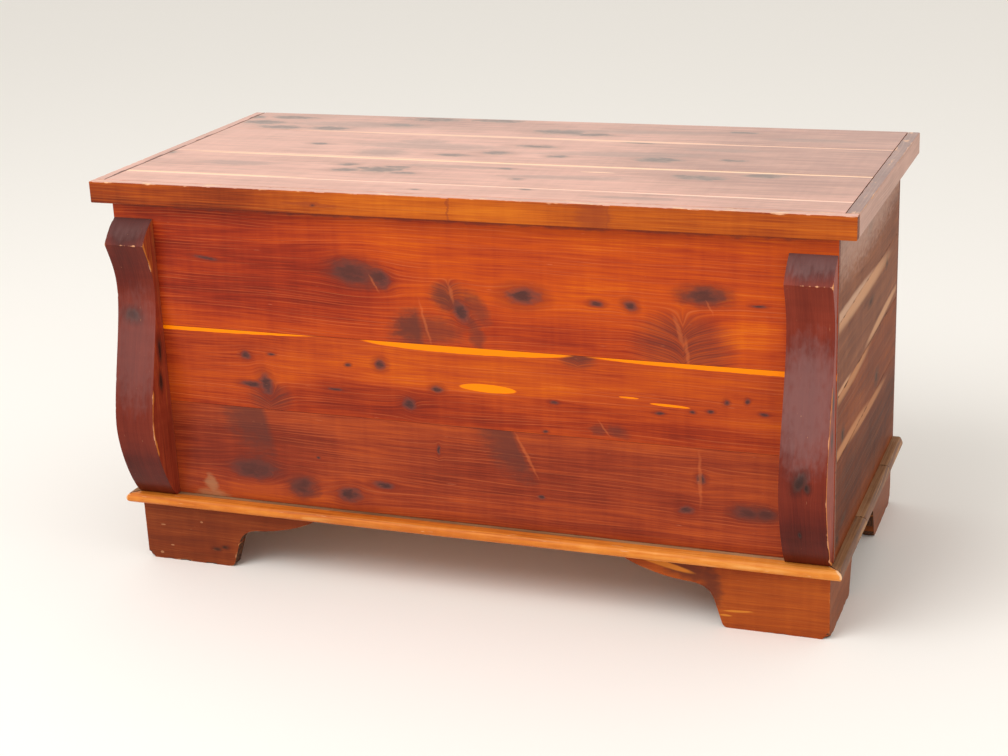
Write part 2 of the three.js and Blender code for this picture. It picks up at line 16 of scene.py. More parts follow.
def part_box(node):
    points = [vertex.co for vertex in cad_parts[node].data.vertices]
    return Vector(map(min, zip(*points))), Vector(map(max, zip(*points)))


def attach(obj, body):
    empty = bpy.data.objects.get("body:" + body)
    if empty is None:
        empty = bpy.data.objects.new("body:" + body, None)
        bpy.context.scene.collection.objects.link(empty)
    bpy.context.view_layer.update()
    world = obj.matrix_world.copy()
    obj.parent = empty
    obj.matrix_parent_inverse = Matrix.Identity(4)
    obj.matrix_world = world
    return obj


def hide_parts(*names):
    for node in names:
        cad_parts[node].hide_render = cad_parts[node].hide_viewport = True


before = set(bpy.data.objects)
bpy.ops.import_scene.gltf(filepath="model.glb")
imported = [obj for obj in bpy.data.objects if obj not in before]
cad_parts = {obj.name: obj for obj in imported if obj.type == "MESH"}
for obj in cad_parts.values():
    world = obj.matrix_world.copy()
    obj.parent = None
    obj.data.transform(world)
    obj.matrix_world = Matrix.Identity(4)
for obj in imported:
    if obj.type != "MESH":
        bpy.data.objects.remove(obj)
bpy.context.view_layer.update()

MM = 0.001
AXES = {"x": 0, "y": 1, "z": 2}
RIGHT, REAR, UP = Vector((1, 0, 0)), Vector((0, 1, 0)), Vector((0, 0, 1))
SHARP_ANGLE = math.radians(35)

# How near a point is to an arris, kept on each mesh: 1 on the arris, 0 this far away
WEAR_LAYER = "arris_wear"
WEAR_REACH = 12.0

# Socket numbers of the Mix node when it mixes colours
MIX_A, MIX_B, MIX_RESULT = 6, 7, 2

# Short names for types
Mesh = bmesh.types.BMesh
Face = bmesh.types.BMFace
Socket = bpy.types.NodeSocket
Value = Socket | float
Point = Sequence[float]

log = logging.getLogger("blanket_chest")


def linear(hex_colour: str) -> tuple[float, float, float, float]:
    """Turns an sRGB hex colour to linear light.

    Args:
        hex_colour: Six hex digits after a hash.

    Returns:
        Red, green, blue and an alpha of 1.
    """
    channels = [int(hex_colour[i:i + 2], 16) / 255 for i in (1, 3, 5)]
    light = [c / 12.92 if c <= 0.04045 else ((c + 0.055) / 1.055) ** 2.4 for c in channels]
    return (*light, 1.0)


def evenly(tones: Sequence[str]) -> list[tuple[float, str]]:
    """Spreads colours evenly from 0 to 1."""
    return [(i / (len(tones) - 1), tone) for i, tone in enumerate(tones)]


class Side(StrEnum):
    """A side of the chest, as it stands in the pieces' names."""

    LEFT = "left"
    RIGHT = "right"
    FRONT = "front"
    BACK = "back"


class Grain(Enum):
    """Which axes run along the grain, across the board's face and through the board."""

    LENGTH_UPRIGHT = "xzy"
    DEPTH_UPRIGHT = "yzx"
    LENGTH_FLAT = "xyz"
    DEPTH_FLAT = "yxz"
    HEIGHT = "zxy"
    HEIGHT_DEEP = "zyx"


class Figure(Enum):
    """The wood's noises: cells per millimetre along, across and through a board, and detail."""

    BANDS = (1 / 520, 1 / 30, 1 / 90, 2.0)
    FIBRES = (1 / 70, 0.55, 1 / 90, 4.0)
    STREAKS = (1 / 120, 1 / 7, 1 / 90, 3.0)
    CLOUDS = (1 / 150, 1 / 60, 1 / 90, 3.0)
    RIBBONS = (1 / 12, 1 / 150, 1 / 90, 2.0)
    SMOKE = (0.07, 0.16, 1 / 90, 3.0)
    RAGGED = (0.05, 0.11, 1 / 90, 3.0)
    SWAY = (1 / 260, 1 / 90, 1 / 90, 1.0)
    LINE_WANDER = (1 / 300, 1 / 40, 1 / 90, 1.0)
    LINE_BREAKS = (1 / 190, 1 / 7, 1 / 90, 2.0)
    RING_WANDER = (1 / 600, 1 / 120, 1 / 90, 1.0)
    WORN_PATCHES = (1 / 34, 1 / 9, 1 / 9, 4.0)


@dataclass(frozen=True)
class Mark:
    """An oval mark on a board's face: its middle and half sizes in millimetres, in degrees its tilt."""

    along: float
    across: float
    half_length: float
    half_width: float
    tilt: float = 0.0


@dataclass(frozen=True)
class Tone:
    """A broad zone of a board, moved lighter or darker by a shift from -1 to 1."""

    mark: Mark
    shift: float


@dataclass
class Drawing:
    """The patterns that finishes share, drawn in one node tree with lengths in millimetres.

    Attributes:
        tree: The node tree.
    """

    tree: bpy.types.NodeTree

    def add(self, kind: str, inputs: dict | None = None, out: int | str = 0,
            stops: Iterable[tuple[float, str]] = (), **settings: object) -> Socket | None:
        """Adds a node with its settings and what feeds its sockets.

        Args:
            kind: The node's type without its ShaderNode prefix.
            inputs: Socket name or number to a plain value or another node's output.
            out: The output to return, by name or number.
            stops: A colour ramp's places from 0 to 1 in rising order, each with its hex colour.
            **settings: The node's own properties.

        Returns:
            The chosen output, if the node has one.
        """
        node = self.tree.nodes.new("ShaderNode" + kind)
        for name, value in settings.items():
            setattr(node, name, value)
        for socket, value in (inputs or {}).items():
            if isinstance(value, Socket):
                self.tree.links.new(value, node.inputs[socket])
            else:
                node.inputs[socket].default_value = value
        for i, (position, tone) in enumerate(stops):
            elements = node.color_ramp.elements
            element = elements[i] if i < len(elements) else elements.new(position)
            element.position, element.color = position, linear(tone)
        return node.outputs[out] if len(node.outputs) else None

    def place(self) -> Socket:
        """Gives a point's place on the object in millimetres."""
        metres = self.add("TexCoord", out="Object")
        return self.add("VectorMath", {0: metres, 3: 1 / MM}, operation="SCALE")

    def noise(self, place: Socket, figure: Figure, out: str = "Fac") -> Socket:
        """Draws one of the wood's noises.

        Args:
            place: The place in millimetres.
            figure: Which noise.
            out: Fac for one value from 0 to 1, Color for three of them.

        Returns:
            The value or the colour.
        """
        *pitch, detail = figure.value
        stretched = self.add("VectorMath", {0: place, 1: pitch}, operation="MULTIPLY")
        return self.add("TexNoise", {"Vector": stretched, "Scale": 1.0, "Detail": detail}, out)

    def shifted(self, value: Socket, by: float, tone: Value) -> Socket:
        """Moves a tone up and down by a noise that lies about a half."""
        centred = self.add("Math", {0: value, 1: 0.5}, operation="SUBTRACT")
        return self.add("Math", {0: centred, 1: by, 2: tone}, operation="MULTIPLY_ADD")

    def pushed(self, place: Socket, by: Socket, reach: Point) -> Socket:
        """Moves a place by a noise colour, by up to half the reach each way."""
        centred = self.add("VectorMath", {0: by, 1: (0.5, 0.5, 0.5)}, operation="SUBTRACT")
        return self.add("VectorMath", {0: centred, 1: reach, 2: place}, operation="MULTIPLY_ADD")

    def oval(self, place: Socket, mark: Mark) -> tuple[Socket, Socket]:
        """Turns a place to a mark's own frame, where the mark's edge is a unit circle.

        Args:
            place: The place in millimetres.
            mark: The mark, which goes right through the board.

        Returns:
            The place in that frame, and its squared distance from the middle.
        """
        everywhere = 1e5
        oval = self.add("Mapping", {
            "Vector": place, "Location": (mark.along, mark.across, 0.0),
            "Rotation": (0.0, 0.0, math.radians(mark.tilt)),
            "Scale": (mark.half_length, mark.half_width, everywhere),
        }, vector_type="TEXTURE")
        return oval, self.add("VectorMath", {0: oval, 1: oval}, "Value", operation="DOT_PRODUCT")

    def nearest(self, place: Socket, marks: Sequence[Mark]) -> Socket:
        """Finds the nearest of several marks.

        Args:
            place: The place in millimetres.
            marks: The marks.

        Returns:
            The least squared distance, in that mark's own frame.
        """
        nearest, *others = (self.oval(place, mark)[1] for mark in marks)
        for square in others:
            nearest = self.add("Math", {0: nearest, 1: square}, operation="MINIMUM")
        return nearest

    def mask(self, value: Value, full: float, none: float, most: Value = 1.0) -> Socket:
        """Gives the most where a value is at most full, falling smoothly to 0 at none."""
        return self.add("MapRange", {0: value, 1: full, 2: none, 3: most, 4: 0.0},
                        interpolation_type="SMOOTHSTEP")


@dataclass(frozen=True)
class Finish:
    """A surface, made a node material the first time that a piece asks for it."""

    name: str

    def material(self) -> bpy.types.Material:
        """Makes the material, or finds it when an earlier piece has asked for it.

        Returns:
            The finish's one material.
        """
        made = bpy.data.materials.get(self.name)
        if made:
            return made
        material = bpy.data.materials.new(self.name)
        material.use_nodes = True
        draw = Drawing(material.node_tree)
        draw.tree.nodes.clear()
        shader = draw.add("BsdfPrincipled", self.surface(draw))
        draw.add("OutputMaterial", {"Surface": shader})
        return material

    def surface(self, draw: Drawing) -> dict[str, object]:
        """Lays the surface out as nodes.

        Args:
            draw: Adds the nodes.

        Returns:
            What feeds the shader's sockets, by their names.
        """
        raise NotImplementedError


@dataclass(frozen=True)
class Cedar(Finish):
    """Aromatic red cedar, sawn flat, planed, and varnished or left bare.

    The grain shows as fine lines that part round the knots. Sapwood is pale yellow beside the red
    heartwood. Varnish gives a soft gloss, and wear leaves the arrises pale. An edge's softness is
    a share of the mark's squared size, and lengths are in millimetres.

    Attributes:
        grain: How the grain runs.
        tones: Heartwood colours from dark to light.
        line, line_spacing, line_share: Colour, spacing and strength of the pale growth lines.
        halo, core: Colours round a knot, and of its heart from dark to light.
        worn, worn_width: Colour and width of the band along an arris: wear on most pieces, and painted
            shadow of the gap on the left lid cleat.
        knots, knot_edge, knot_ragged: Knots, how softly they end and how far they break up.
        stains, stain_tone, stain_share: Soft patches, their colour and strength: real stains on most
            boards, and painted shade and painted light on a few.
        crotches: Dark wood where the grain dips towards a branch that was sawn along.
        wedges: Dark patches with one sharp side, on the left of their long axis.
        spikes: Pale lines where a branch was sawn along.
        waviness: How far the grain wanders across the board.
        sap, sap_tone, sap_edge, sap_share: Sapwood lenses, their colour, softness and strength.
        blooms, bloom_tone: Dusty or bleached patches and their colour.
        zones: Broad changes of tone.
        gloss, specular, varnish: Roughness, strength of the reflection and of the clear coat.
        relief: Depth of the open grain.
        contrast: How far the fine fibres differ in tone.
        ring_width, ring_contrast: Width of a growth ring, and its end's tone less its start's.
        ribbon: How strongly faint bars show across the grain.
        scratches: Share of the surface that scratches cover, 0 for none.
        seed: Moves the grain, so that no two boards match.
    """

    grain: Grain
    tones: tuple[str, ...]
    line: str = "#C8682F"
    line_spacing: float = 4.4
    line_share: float = 0.55
    halo: str = "#5E2418"
    core: tuple[str, str] = ("#33231F", "#6B4A3C")
    worn: str = "#D98C4E"
    worn_width: float = 1.2
    knots: tuple[Mark, ...] = ()
    knot_edge: float = 1.1
    knot_ragged: float = 2.2
    # Stain patches: real stains, and on a few boards painted shade and painted sheen
    stains: tuple[Mark, ...] = ()
    stain_tone: str = "#5C2A24"
    stain_share: float = 0.5
    crotches: tuple[Mark, ...] = ()
    wedges: tuple[Mark, ...] = ()
    spikes: tuple[Mark, ...] = ()
    waviness: float = 10.0
    sap: tuple[Mark, ...] = ()
    sap_tone: str = "#F0960F"
    sap_edge: float = 0.12
    sap_share: float = 1.0
    blooms: tuple[Mark, ...] = ()
    bloom_tone: str = "#A98568"
    zones: tuple[Tone, ...] = ()
    gloss: float = 0.34
    specular: float = 0.3
    varnish: float = 0.0
    relief: float = 0.05
    contrast: float = 0.5
    ring_width: float = 21.0
    ring_contrast: float = -0.1
    ribbon: float = 0.22
    scratches: float = 0.0
    seed: int = 1

    def surface(self, draw: Drawing) -> dict[str, object]:
        """Lays the board's colour, gloss and relief out.

        Args:
            draw: Adds the nodes.

        Returns:
            What feeds the shader's sockets, by their names.
        """
        split = draw.add("SeparateXYZ", {0: draw.place()}).node.outputs
        place = draw.add("CombineXYZ", {i: split[AXES[a]] for i, a in enumerate(self.grain.value)})
        drift = draw.add("VectorMath", {0: place, 1: [self.seed * k for k in (317.0, 71.0, 43.0)]},
                         operation="ADD")
        ragged = draw.noise(drift, Figure.RAGGED, "Color")
        soft_place = draw.pushed(place, ragged, (7.0, 5.0, 0.0))
        rough_place = draw.pushed(place, ragged, (16.0, 9.0, 0.0))
        bend, nearness = self._knots(draw, soft_place)
        bend, crotch = self._crotches(draw, place, bend)
        bent = draw.add("VectorMath", {0: drift, 1: bend}, operation="SUBTRACT")
        sway = draw.noise(drift, Figure.SWAY, "Color")
        grain = draw.pushed(bent, sway, (0.0, self.waviness, 0.0))
        fibres = draw.noise(grain, Figure.FIBRES)
        worn = self._wear(draw, drift) if self.worn_width else 0.0

        tone = self._tone(draw, place, drift, grain, fibres)
        colour = draw.add("ValToRGB", {"Fac": tone}, stops=evenly(self.tones))
        layers = [
            *self._growth(draw, grain, fibres, crotch),
            *self._marks(draw, place, soft_place, rough_place, ragged, nearness),
            (self.worn, worn), *self._scratches(draw, drift),
        ]
        for over, share in layers:
            top = linear(over) if isinstance(over, str) else over
            colour = draw.add("Mix", {0: share, MIX_A: colour, MIX_B: top}, MIX_RESULT,
                              data_type="RGBA")

        gloss = draw.add("MapRange", {0: fibres, 3: self.gloss - 0.05, 4: self.gloss + 0.09})
        return {
            "Base Color": colour, "Specular IOR Level": self.specular,
            "Roughness": draw.add("Math", {0: worn, 1: 0.25, 2: gloss}, operation="MULTIPLY_ADD"),
            "Normal": draw.add("Bump", {"Distance": self.relief * MM, "Height": fibres}),
            "Coat Weight": self.varnish, "Coat Roughness": self.gloss * 0.8,
        }

    def _knots(self, draw: Drawing, place: Socket) -> tuple[object, Value]:
        """Bends the grain round the knots.

        Args:
            draw: Adds the nodes.
            place: A point's place on the board.

        Returns:
            How far the grain moves across the board, and the least squared distance of a knot.
        """
        bend, nearness = (0.0, 0.0, 0.0), 1e3
        for knot in self.knots:
            oval, square = draw.oval(place, knot)
            outside = draw.add("Math", {0: square, 1: 1.0}, operation="MAXIMUM")
            push = draw.add("Math", {0: knot.half_width * 0.9, 1: outside}, operation="DIVIDE")
            moved = draw.add("VectorMath", {0: oval, 3: push}, operation="SCALE")
            bend = draw.add("VectorMath", {0: moved, 1: REAR, 2: bend}, operation="MULTIPLY_ADD")
            nearness = draw.add("Math", {0: square, 1: nearness}, operation="MINIMUM")
        return bend, nearness

    def _crotches(self, draw: Drawing, place: Socket, bend: object) -> tuple[object, Value]:
        """Draws the grain down towards each sawn branch, as it does in a crotch.

        Args:
            draw: Adds the nodes.
            place: A point's place on the board.
            bend: How far the knots move the grain.

        Returns:
            The bend with the dips added, and the share of dark wood round the branches.
        """
        share: Value = 0.0
        for mark in self.crotches:
            oval, square = draw.oval(place, mark)
            near = draw.mask(square, full=0.1, none=1.5)
            away = draw.add("Math", {0: draw.add("SeparateXYZ", {0: oval})}, operation="ABSOLUTE")
            steep = draw.add("Math", {0: away, 1: 3.0, 2: 0.8}, operation="MULTIPLY_ADD")
            depth = draw.add("Math", {0: near, 1: steep}, operation="DIVIDE")
            dip = (0.0, -mark.half_width * 0.42, 0.0)
            bend = draw.add("VectorMath", {0: depth, 1: dip, 2: bend}, operation="MULTIPLY_ADD")
            share = draw.add("Math", {0: near, 1: share}, operation="MAXIMUM")
        return bend, share

    def _tone(self, draw: Drawing, place: Socket, drift: Socket, grain: Socket,
              fibres: Socket) -> Socket:
        """Adds the wood's noises, growth rings and zones up to its tone.

        Args:
            draw: Adds the nodes.
            place: A point's place on the board.
            drift: The same, moved by the seed.
            grain: The same, bent as the grain is.
            fibres: The noise of the fine fibres.

        Returns:
            The tone, from 0 for dark to 1 for light.
        """
        shifts = (
            (draw.noise(grain, Figure.BANDS), 0.4),
            (draw.noise(grain, Figure.STREAKS), self.contrast * 0.38),
            (fibres, self.contrast * 1.5),
            (draw.noise(drift, Figure.CLOUDS), 0.65),
            (draw.noise(drift, Figure.RIBBONS), self.ribbon),
            (self._turns(draw, grain, Figure.RING_WANDER, self.ring_width, 3.2, "FRACT"),
             self.ring_contrast),
        )
        tone: Value = 0.5
        for value, by in shifts:
            tone = draw.shifted(value, by, tone)
        for zone in self.zones:
            soft = draw.mask(draw.nearest(place, [zone.mark]), full=0.1, none=1.7)
            tone = draw.add("Math", {0: soft, 1: zone.shift, 2: tone}, operation="MULTIPLY_ADD")
        return tone

    @staticmethod
    def _turns(draw: Drawing, grain: Socket, wander: Figure, width: float, sway: float,
               operation: str) -> Socket:
        """Counts the rings or lines across the grain.

        Args:
            draw: Adds the nodes.
            grain: A point's place, bent as the grain is.
            wander: The noise that makes their distances uneven.
            width: Their usual distance in millimetres.
            sway: How many of them the noise moves.
            operation: FRACT for a rise from each to the next, PINGPONG for the distance from one.

        Returns:
            The share of a turn.
        """
        across = draw.add("SeparateXYZ", {0: grain}, 1)
        turns = draw.add("Math", {0: across, 1: 1 / width}, operation="MULTIPLY")
        turns = draw.add("Math", {0: draw.noise(grain, wander), 1: sway, 2: turns},
                         operation="MULTIPLY_ADD")
        return draw.add("Math", {0: turns, 1: 0.5}, operation=operation)

    def _growth(self, draw: Drawing, grain: Socket, fibres: Socket,
                crotch: Value) -> Iterator[tuple[object, Value]]:
        """Gives the thin pale growth lines, which come and go, and the strands of the crotches.

        Args:
            draw: Adds the nodes.
            grain: A point's place, bent as the grain is.
            fibres: The noise of the fine fibres.
            crotch: The share of dark wood round the branches.

        Yields:
            Each colour with its share.
        """
        middle = self._turns(draw, grain, Figure.LINE_WANDER, self.line_spacing, 4.0, "PINGPONG")
        seen = draw.add("MapRange", {0: draw.noise(grain, Figure.LINE_BREAKS), 1: 0.44, 2: 0.68,
                                     4: self.line_share})
        yield self.line, draw.mask(middle, full=0.0, none=0.2, most=seen)
        if self.crotches:
            strands = draw.add("MapRange", {0: fibres, 1: 0.36, 2: 0.6, 3: 0.7, 4: 0.34})
            share = draw.add("Math", {0: crotch, 1: strands}, operation="MULTIPLY")
            yield self.stain_tone, share

    def _marks(self, draw: Drawing, place: Socket, soft_place: Socket, rough_place: Socket,
               ragged: Socket, nearness: Value) -> Iterator[tuple[object, Value]]:
        """Gives the knots, stain patches (on a few boards painted shade and painted light), sawn
        branches, sapwood and dust from the bottom layer up.

        Args:
            draw: Adds the nodes.
            place: A point's place on the board.
            soft_place: The same, a little ragged.
            rough_place: The same, very ragged.
            ragged: The noise colour behind both.
            nearness: The least squared distance of a knot.

        Yields:
            Each colour with its share.
        """
        smoke = draw.noise(rough_place, Figure.SMOKE)
        if self.knots:
            density = draw.shifted(smoke, self.knot_ragged, nearness)
            yield self.halo, draw.mask(density, full=0.4, none=6.0, most=0.5)
            heart = draw.add("ValToRGB", {"Fac": density}, stops=zip((0.0, 0.8), self.core))
            yield heart, self._edged(draw, density, self.knot_edge, 0.86)
            eye = draw.add("Math", {0: nearness, 1: 0.3}, operation="SUBTRACT")
            eye = draw.add("Math", {0: eye}, operation="ABSOLUTE")
            yield self.core[0], draw.mask(eye, full=0.0, none=0.2, most=0.2)
        if self.stains:
            density = draw.shifted(smoke, 1.8, draw.nearest(rough_place, self.stains))
            yield self.stain_tone, draw.mask(density, full=0.0, none=2.0, most=self.stain_share)
        for wedge in self.wedges:
            oval, square = draw.oval(soft_place, wedge)
            body = draw.mask(draw.shifted(smoke, 1.2, square), full=0.2, none=1.4, most=0.75)
            beyond = draw.add("SeparateXYZ", {0: oval}, 1)
            yield self.stain_tone, draw.add("MapRange", {0: beyond, 1: -0.03, 2: 0.12, 4: body})
        if self.spikes:
            square = draw.nearest(soft_place, self.spikes)
            yield self.line, draw.mask(square, full=0.0, none=2.2, most=0.32)
        if self.sap:
            frayed = draw.nearest(draw.pushed(place, ragged, (0.0, 1.6, 0.0)), self.sap)
            yield self.sap_tone, self._edged(draw, frayed, self.sap_edge, self.sap_share)
        if self.blooms:
            density = draw.shifted(smoke, 2.0, draw.nearest(rough_place, self.blooms))
            yield self.bloom_tone, draw.mask(density, full=0.0, none=2.4, most=0.6)

    @staticmethod
    def _edged(draw: Drawing, square: Socket, edge: float, most: float) -> Socket:
        """Gives a mark's share, which falls from the most to 0 across the mark's edge."""
        return draw.mask(square, full=1.0 - edge, none=1.0 + edge, most=most)

    def _wear(self, draw: Drawing, drift: Socket) -> Socket:
        """Gives the share of the band along the arrises, in ragged patches: bare wood where it is wear,
        and painted shadow on the left lid cleat.

        Args:
            draw: Adds the nodes.
            drift: A point's place on the board, moved by the seed.

        Returns:
            The share.
        """
        raggedness, softness, usual_height = 0.9, 0.06, 1.55
        layer = draw.add("Attribute", out="Fac", attribute_name=WEAR_LAYER)
        patches = draw.noise(drift, Figure.WORN_PATCHES)
        reach = draw.add("Math", {0: patches, 1: raggedness, 2: layer}, operation="MULTIPLY_ADD")
        edge = usual_height - self.worn_width / WEAR_REACH
        return draw.add("MapRange", {0: reach, 1: edge - softness, 2: edge + softness},
                        interpolation_type="SMOOTHSTEP")

    def _scratches(self, draw: Drawing, drift: Socket) -> Iterator[tuple[object, Value]]:
        """Gives thin short scuffs that run every way.

        Args:
            draw: Adds the nodes.
            drift: A point's place on the board, moved by the seed.

        Yields:
            Their colour and share, if there are any.
        """
        if self.scratches:
            lean = draw.add("Mapping", {"Vector": drift, "Rotation": (0.3, 0.5, 0.7),
                                        "Scale": (1 / 26, 0.8, 0.5)})
            strokes = draw.add("TexNoise", {"Vector": lean, "Scale": 1.0, "Detail": 1.0})
            limit = 0.80 - self.scratches
            yield self.worn, draw.add("MapRange", {0: strokes, 1: limit, 2: limit + 0.05, 4: 0.7})


@dataclass(frozen=True)
class EndGrain(Finish):
    """Cedar cut across its fibres: arcs of the yearly rings, darker and duller than the face.

    Attributes:
        tones: Colours from dark to light.
        ring: Distance between rings in millimetres.
        gloss: Roughness.
        pith: Where the rings' middle lies in millimetres.
    """

    tones: tuple[str, ...] = ("#5C2E1C", "#784430", "#8E583E")
    ring: float = 1.9
    gloss: float = 0.6
    pith: tuple[float, float, float] = (37.0, 90.0, 150.0)

    def surface(self, draw: Drawing) -> dict[str, object]:
        """Lays the rings and the open pores out.

        Args:
            draw: Adds the nodes.

        Returns:
            What feeds the shader's sockets, by their names.
        """
        place = draw.place()
        away = draw.add("VectorMath", {0: place, 1: self.pith}, operation="SUBTRACT")
        radius = draw.add("VectorMath", {0: away}, "Value", operation="LENGTH")
        wobble = draw.add("TexNoise", {"Vector": place, "Scale": 0.04, "Detail": 2.0})
        turned = draw.add("Math", {0: wobble, 1: 30.0, 2: radius}, operation="MULTIPLY_ADD")
        rings = draw.add("Math", {0: turned, 1: self.ring}, operation="PINGPONG")
        share = draw.add("Math", {0: rings, 1: self.ring}, operation="DIVIDE")
        pores = draw.add("TexNoise", {"Vector": place, "Scale": 0.9, "Detail": 3.0})
        mixed = draw.add("Math", {0: share, 1: pores}, operation="MULTIPLY")
        colour = draw.add("ValToRGB", {"Fac": mixed}, stops=zip((0.05, 0.3, 0.75), self.tones))
        return {
            "Base Color": colour, "Roughness": self.gloss, "Specular IOR Level": 0.25,
            "Normal": draw.add("Bump", {"Distance": 0.08 * MM, "Height": pores}),
        }


@dataclass(frozen=True)
class PlatedSteel(Finish):
    """Stamped steel with a thin brass plating, rubbed and dulled: warm metal with darker spots.

    Attributes:
        bright: Colour where it is clean.
        dull: Colour where the plating has browned.
    """

    name: str = "brass_plated_steel"
    bright: str = "#C4AC74"
    dull: str = "#94784A"

    def surface(self, draw: Drawing) -> dict[str, object]:
        """Lays the spots and the brushing out.

        Args:
            draw: Adds the nodes.

        Returns:
            What feeds the shader's sockets, by their names.
        """
        place = draw.place()
        spots = draw.add("TexNoise", {"Vector": place, "Scale": 0.16, "Detail": 5.0})
        streaks = draw.add("Mapping", {"Vector": place, "Scale": (0.05, 1.1, 1.1)})
        brushed = draw.add("TexNoise", {"Vector": streaks, "Scale": 1.0, "Detail": 3.0})
        stops = ((0.38, self.dull), (0.56, self.bright), (1.0, self.bright))
        return {
            "Base Color": draw.add("ValToRGB", {"Fac": spots}, stops=stops), "Metallic": 1.0,
            "Roughness": draw.add("MapRange", {0: spots, 1: 0.35, 2: 0.65, 3: 0.46, 4: 0.34}),
            "Normal": draw.add("Bump", {"Distance": 0.02 * MM, "Height": brushed}),
        }


@dataclass(frozen=True)
class MattPaint(Finish):
    """Pale matt paint on the studio's floor: no shine, so that only the shadow shows.

    Attributes:
        tone: Its colour.
    """

    name: str = "pale_matt_paint"
    tone: str = "#F8F5F0"

    def surface(self, draw: Drawing) -> dict[str, object]:
        """Gives a plain colour."""
        return {"Base Color": linear(self.tone), "Roughness": 0.8, "Specular IOR Level": 0.1}


# Finishes and colours shared by several pieces
# Lid tones: the cedar's pink-red, partly painted light: lighter than the wood itself, for strong light
# from above on the top
LID_TONES_WITH_PAINTED_LIGHT = ("#A46C58", "#BE846E", "#D49680", "#E4A690", "#F0B8A0")
SIDE_TONES = ("#4A2212", "#64341C", "#7A452A", "#8E5636", "#A46A46")
LOW_SIDE_TONES = ("#461A04", "#5E2808", "#743410", "#88441A", "#9E5828")
DARK_TONES = ("#46140C", "#5C1C12", "#702617", "#82301E", "#963E28")
HONEY_TONES = ("#9E4A14", "#BC601A", "#D07424", "#DE8732", "#EA9E50")
AGED_TONES = ("#4E3222", "#64422E", "#785038", "#8E6244", "#A67854")
DUSTY_TONES = ("#6A4630", "#7E563A", "#926846", "#A67A56", "#B88E68")
FOOT_TONES = ("#6A2612", "#883816", "#A0481A", "#B4581E", "#C86E28")
DULL_FOOT_TONES = ("#4E1E10", "#662A16", "#7A3418", "#8E421E", "#A05428")
BROWN_FOOT_TONES = ("#4C2008", "#66300F", "#80401A", "#985426", "#AE6830")
BARE_TONES = ("#9A5C42", "#B47656", "#C88C68", "#DAA480", "#EAC09C")
END_GRAIN = EndGrain("cedar_end_grain")
# Painted shade: the feet's sawn edges and soles take end grain darkened past the wood's own colour, to
# the shade they lie in
SAWN_END_WITH_PAINTED_SHADE = EndGrain("scuffed_cedar_end_grain", ("#3C2012", "#5A3620", "#7A4E30"), 2.2, 0.75)
STEEL = PlatedSteel()


def scattered(chooser: random.Random, count: int, *ranges: tuple[float, float]) -> tuple[Mark, ...]:
    """Scatters marks.

    Args:
        chooser: Draws the values.
        count: How many marks.
        *ranges: Lowest and highest of each of a mark's values in turn.

    Returns:
        The marks.
    """
    return tuple(Mark(*(chooser.uniform(*values) for values in ranges)) for _ in range(count))


def bare(grain: Grain, seed: int) -> Cedar:
    """Gives the unfinished cedar of the inside: dry, pinkish, with pale sapwood.

    Args:
        grain: How it runs.
        seed: Picks its knots and streaks.

    Returns:
        The finish.
    """
    chooser = random.Random(seed)
    across = (-230, 270) if grain in (Grain.LENGTH_FLAT, Grain.DEPTH_FLAT) else (130, 560)
    return Cedar(
        f"bare_cedar_{grain.name.lower()}_{seed}", grain, BARE_TONES, line="#E0BC94",
        halo="#8A4A34", core=("#4E2A1E", "#8A5640"), sap_tone="#EED6AC", sap_edge=0.4,
        knots=scattered(chooser, 8, (-460, 460), across, (8, 22), (5, 12), (-10, 10)),
        sap=scattered(chooser, 3, (-400, 400), across, (140, 320), (4, 9)),
        gloss=0.72, specular=0.2, relief=0.12, seed=seed, worn_width=0.0,
    )


# Meshes

def box_of(node: str) -> tuple[Vector, Vector]:
    """Gives a CAD node's lowest and highest corners in millimetres."""
    low, high = (Vector(corner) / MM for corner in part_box(node))
    return low, high


def cad_copy(node: str) -> Mesh:
    """Copies a CAD node's mesh with its triangles merged back to whole faces.

    Args:
        node: The node's name.

    Returns:
        A closed mesh in metres.
    """
    bm = bmesh.new()
    bm.from_mesh(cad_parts[node].data)
    bmesh.ops.remove_doubles(bm, verts=bm.verts, dist=2e-6)
    bmesh.ops.dissolve_limit(bm, angle_limit=math.radians(0.5), verts=bm.verts, edges=bm.edges)
    return bm


def slice_at(bm: Mesh, point: Point, normal: Point, drop_outer: bool = False) -> None:
    """Cuts a mesh by a plane.

    Args:
        bm: The mesh.
        point: A point on the plane in metres.
        normal: The way to the outer side.
        drop_outer: True to drop the outer side and close the cut.
    """
    made = bmesh.ops.bisect_plane(bm, geom=[*bm.verts, *bm.edges, *bm.faces], plane_co=point,
                                  plane_no=normal, dist=1e-7, clear_outer=drop_outer)
    if drop_outer:
        rim = [e for e in made["geom_cut"] if isinstance(e, bmesh.types.BMEdge)]
        bmesh.ops.contextual_create(bm, geom=rim)


@dataclass(frozen=True)
class Cuts:
    """Cuts across a piece, which give its arrises points to wear by.

    Attributes:
        step: Distance between the even cuts in millimetres.
        rims: Distances of the others from each end in millimetres.
    """

    step: float
    rims: tuple[float, ...] = (2.5, 6.0, 12.5)


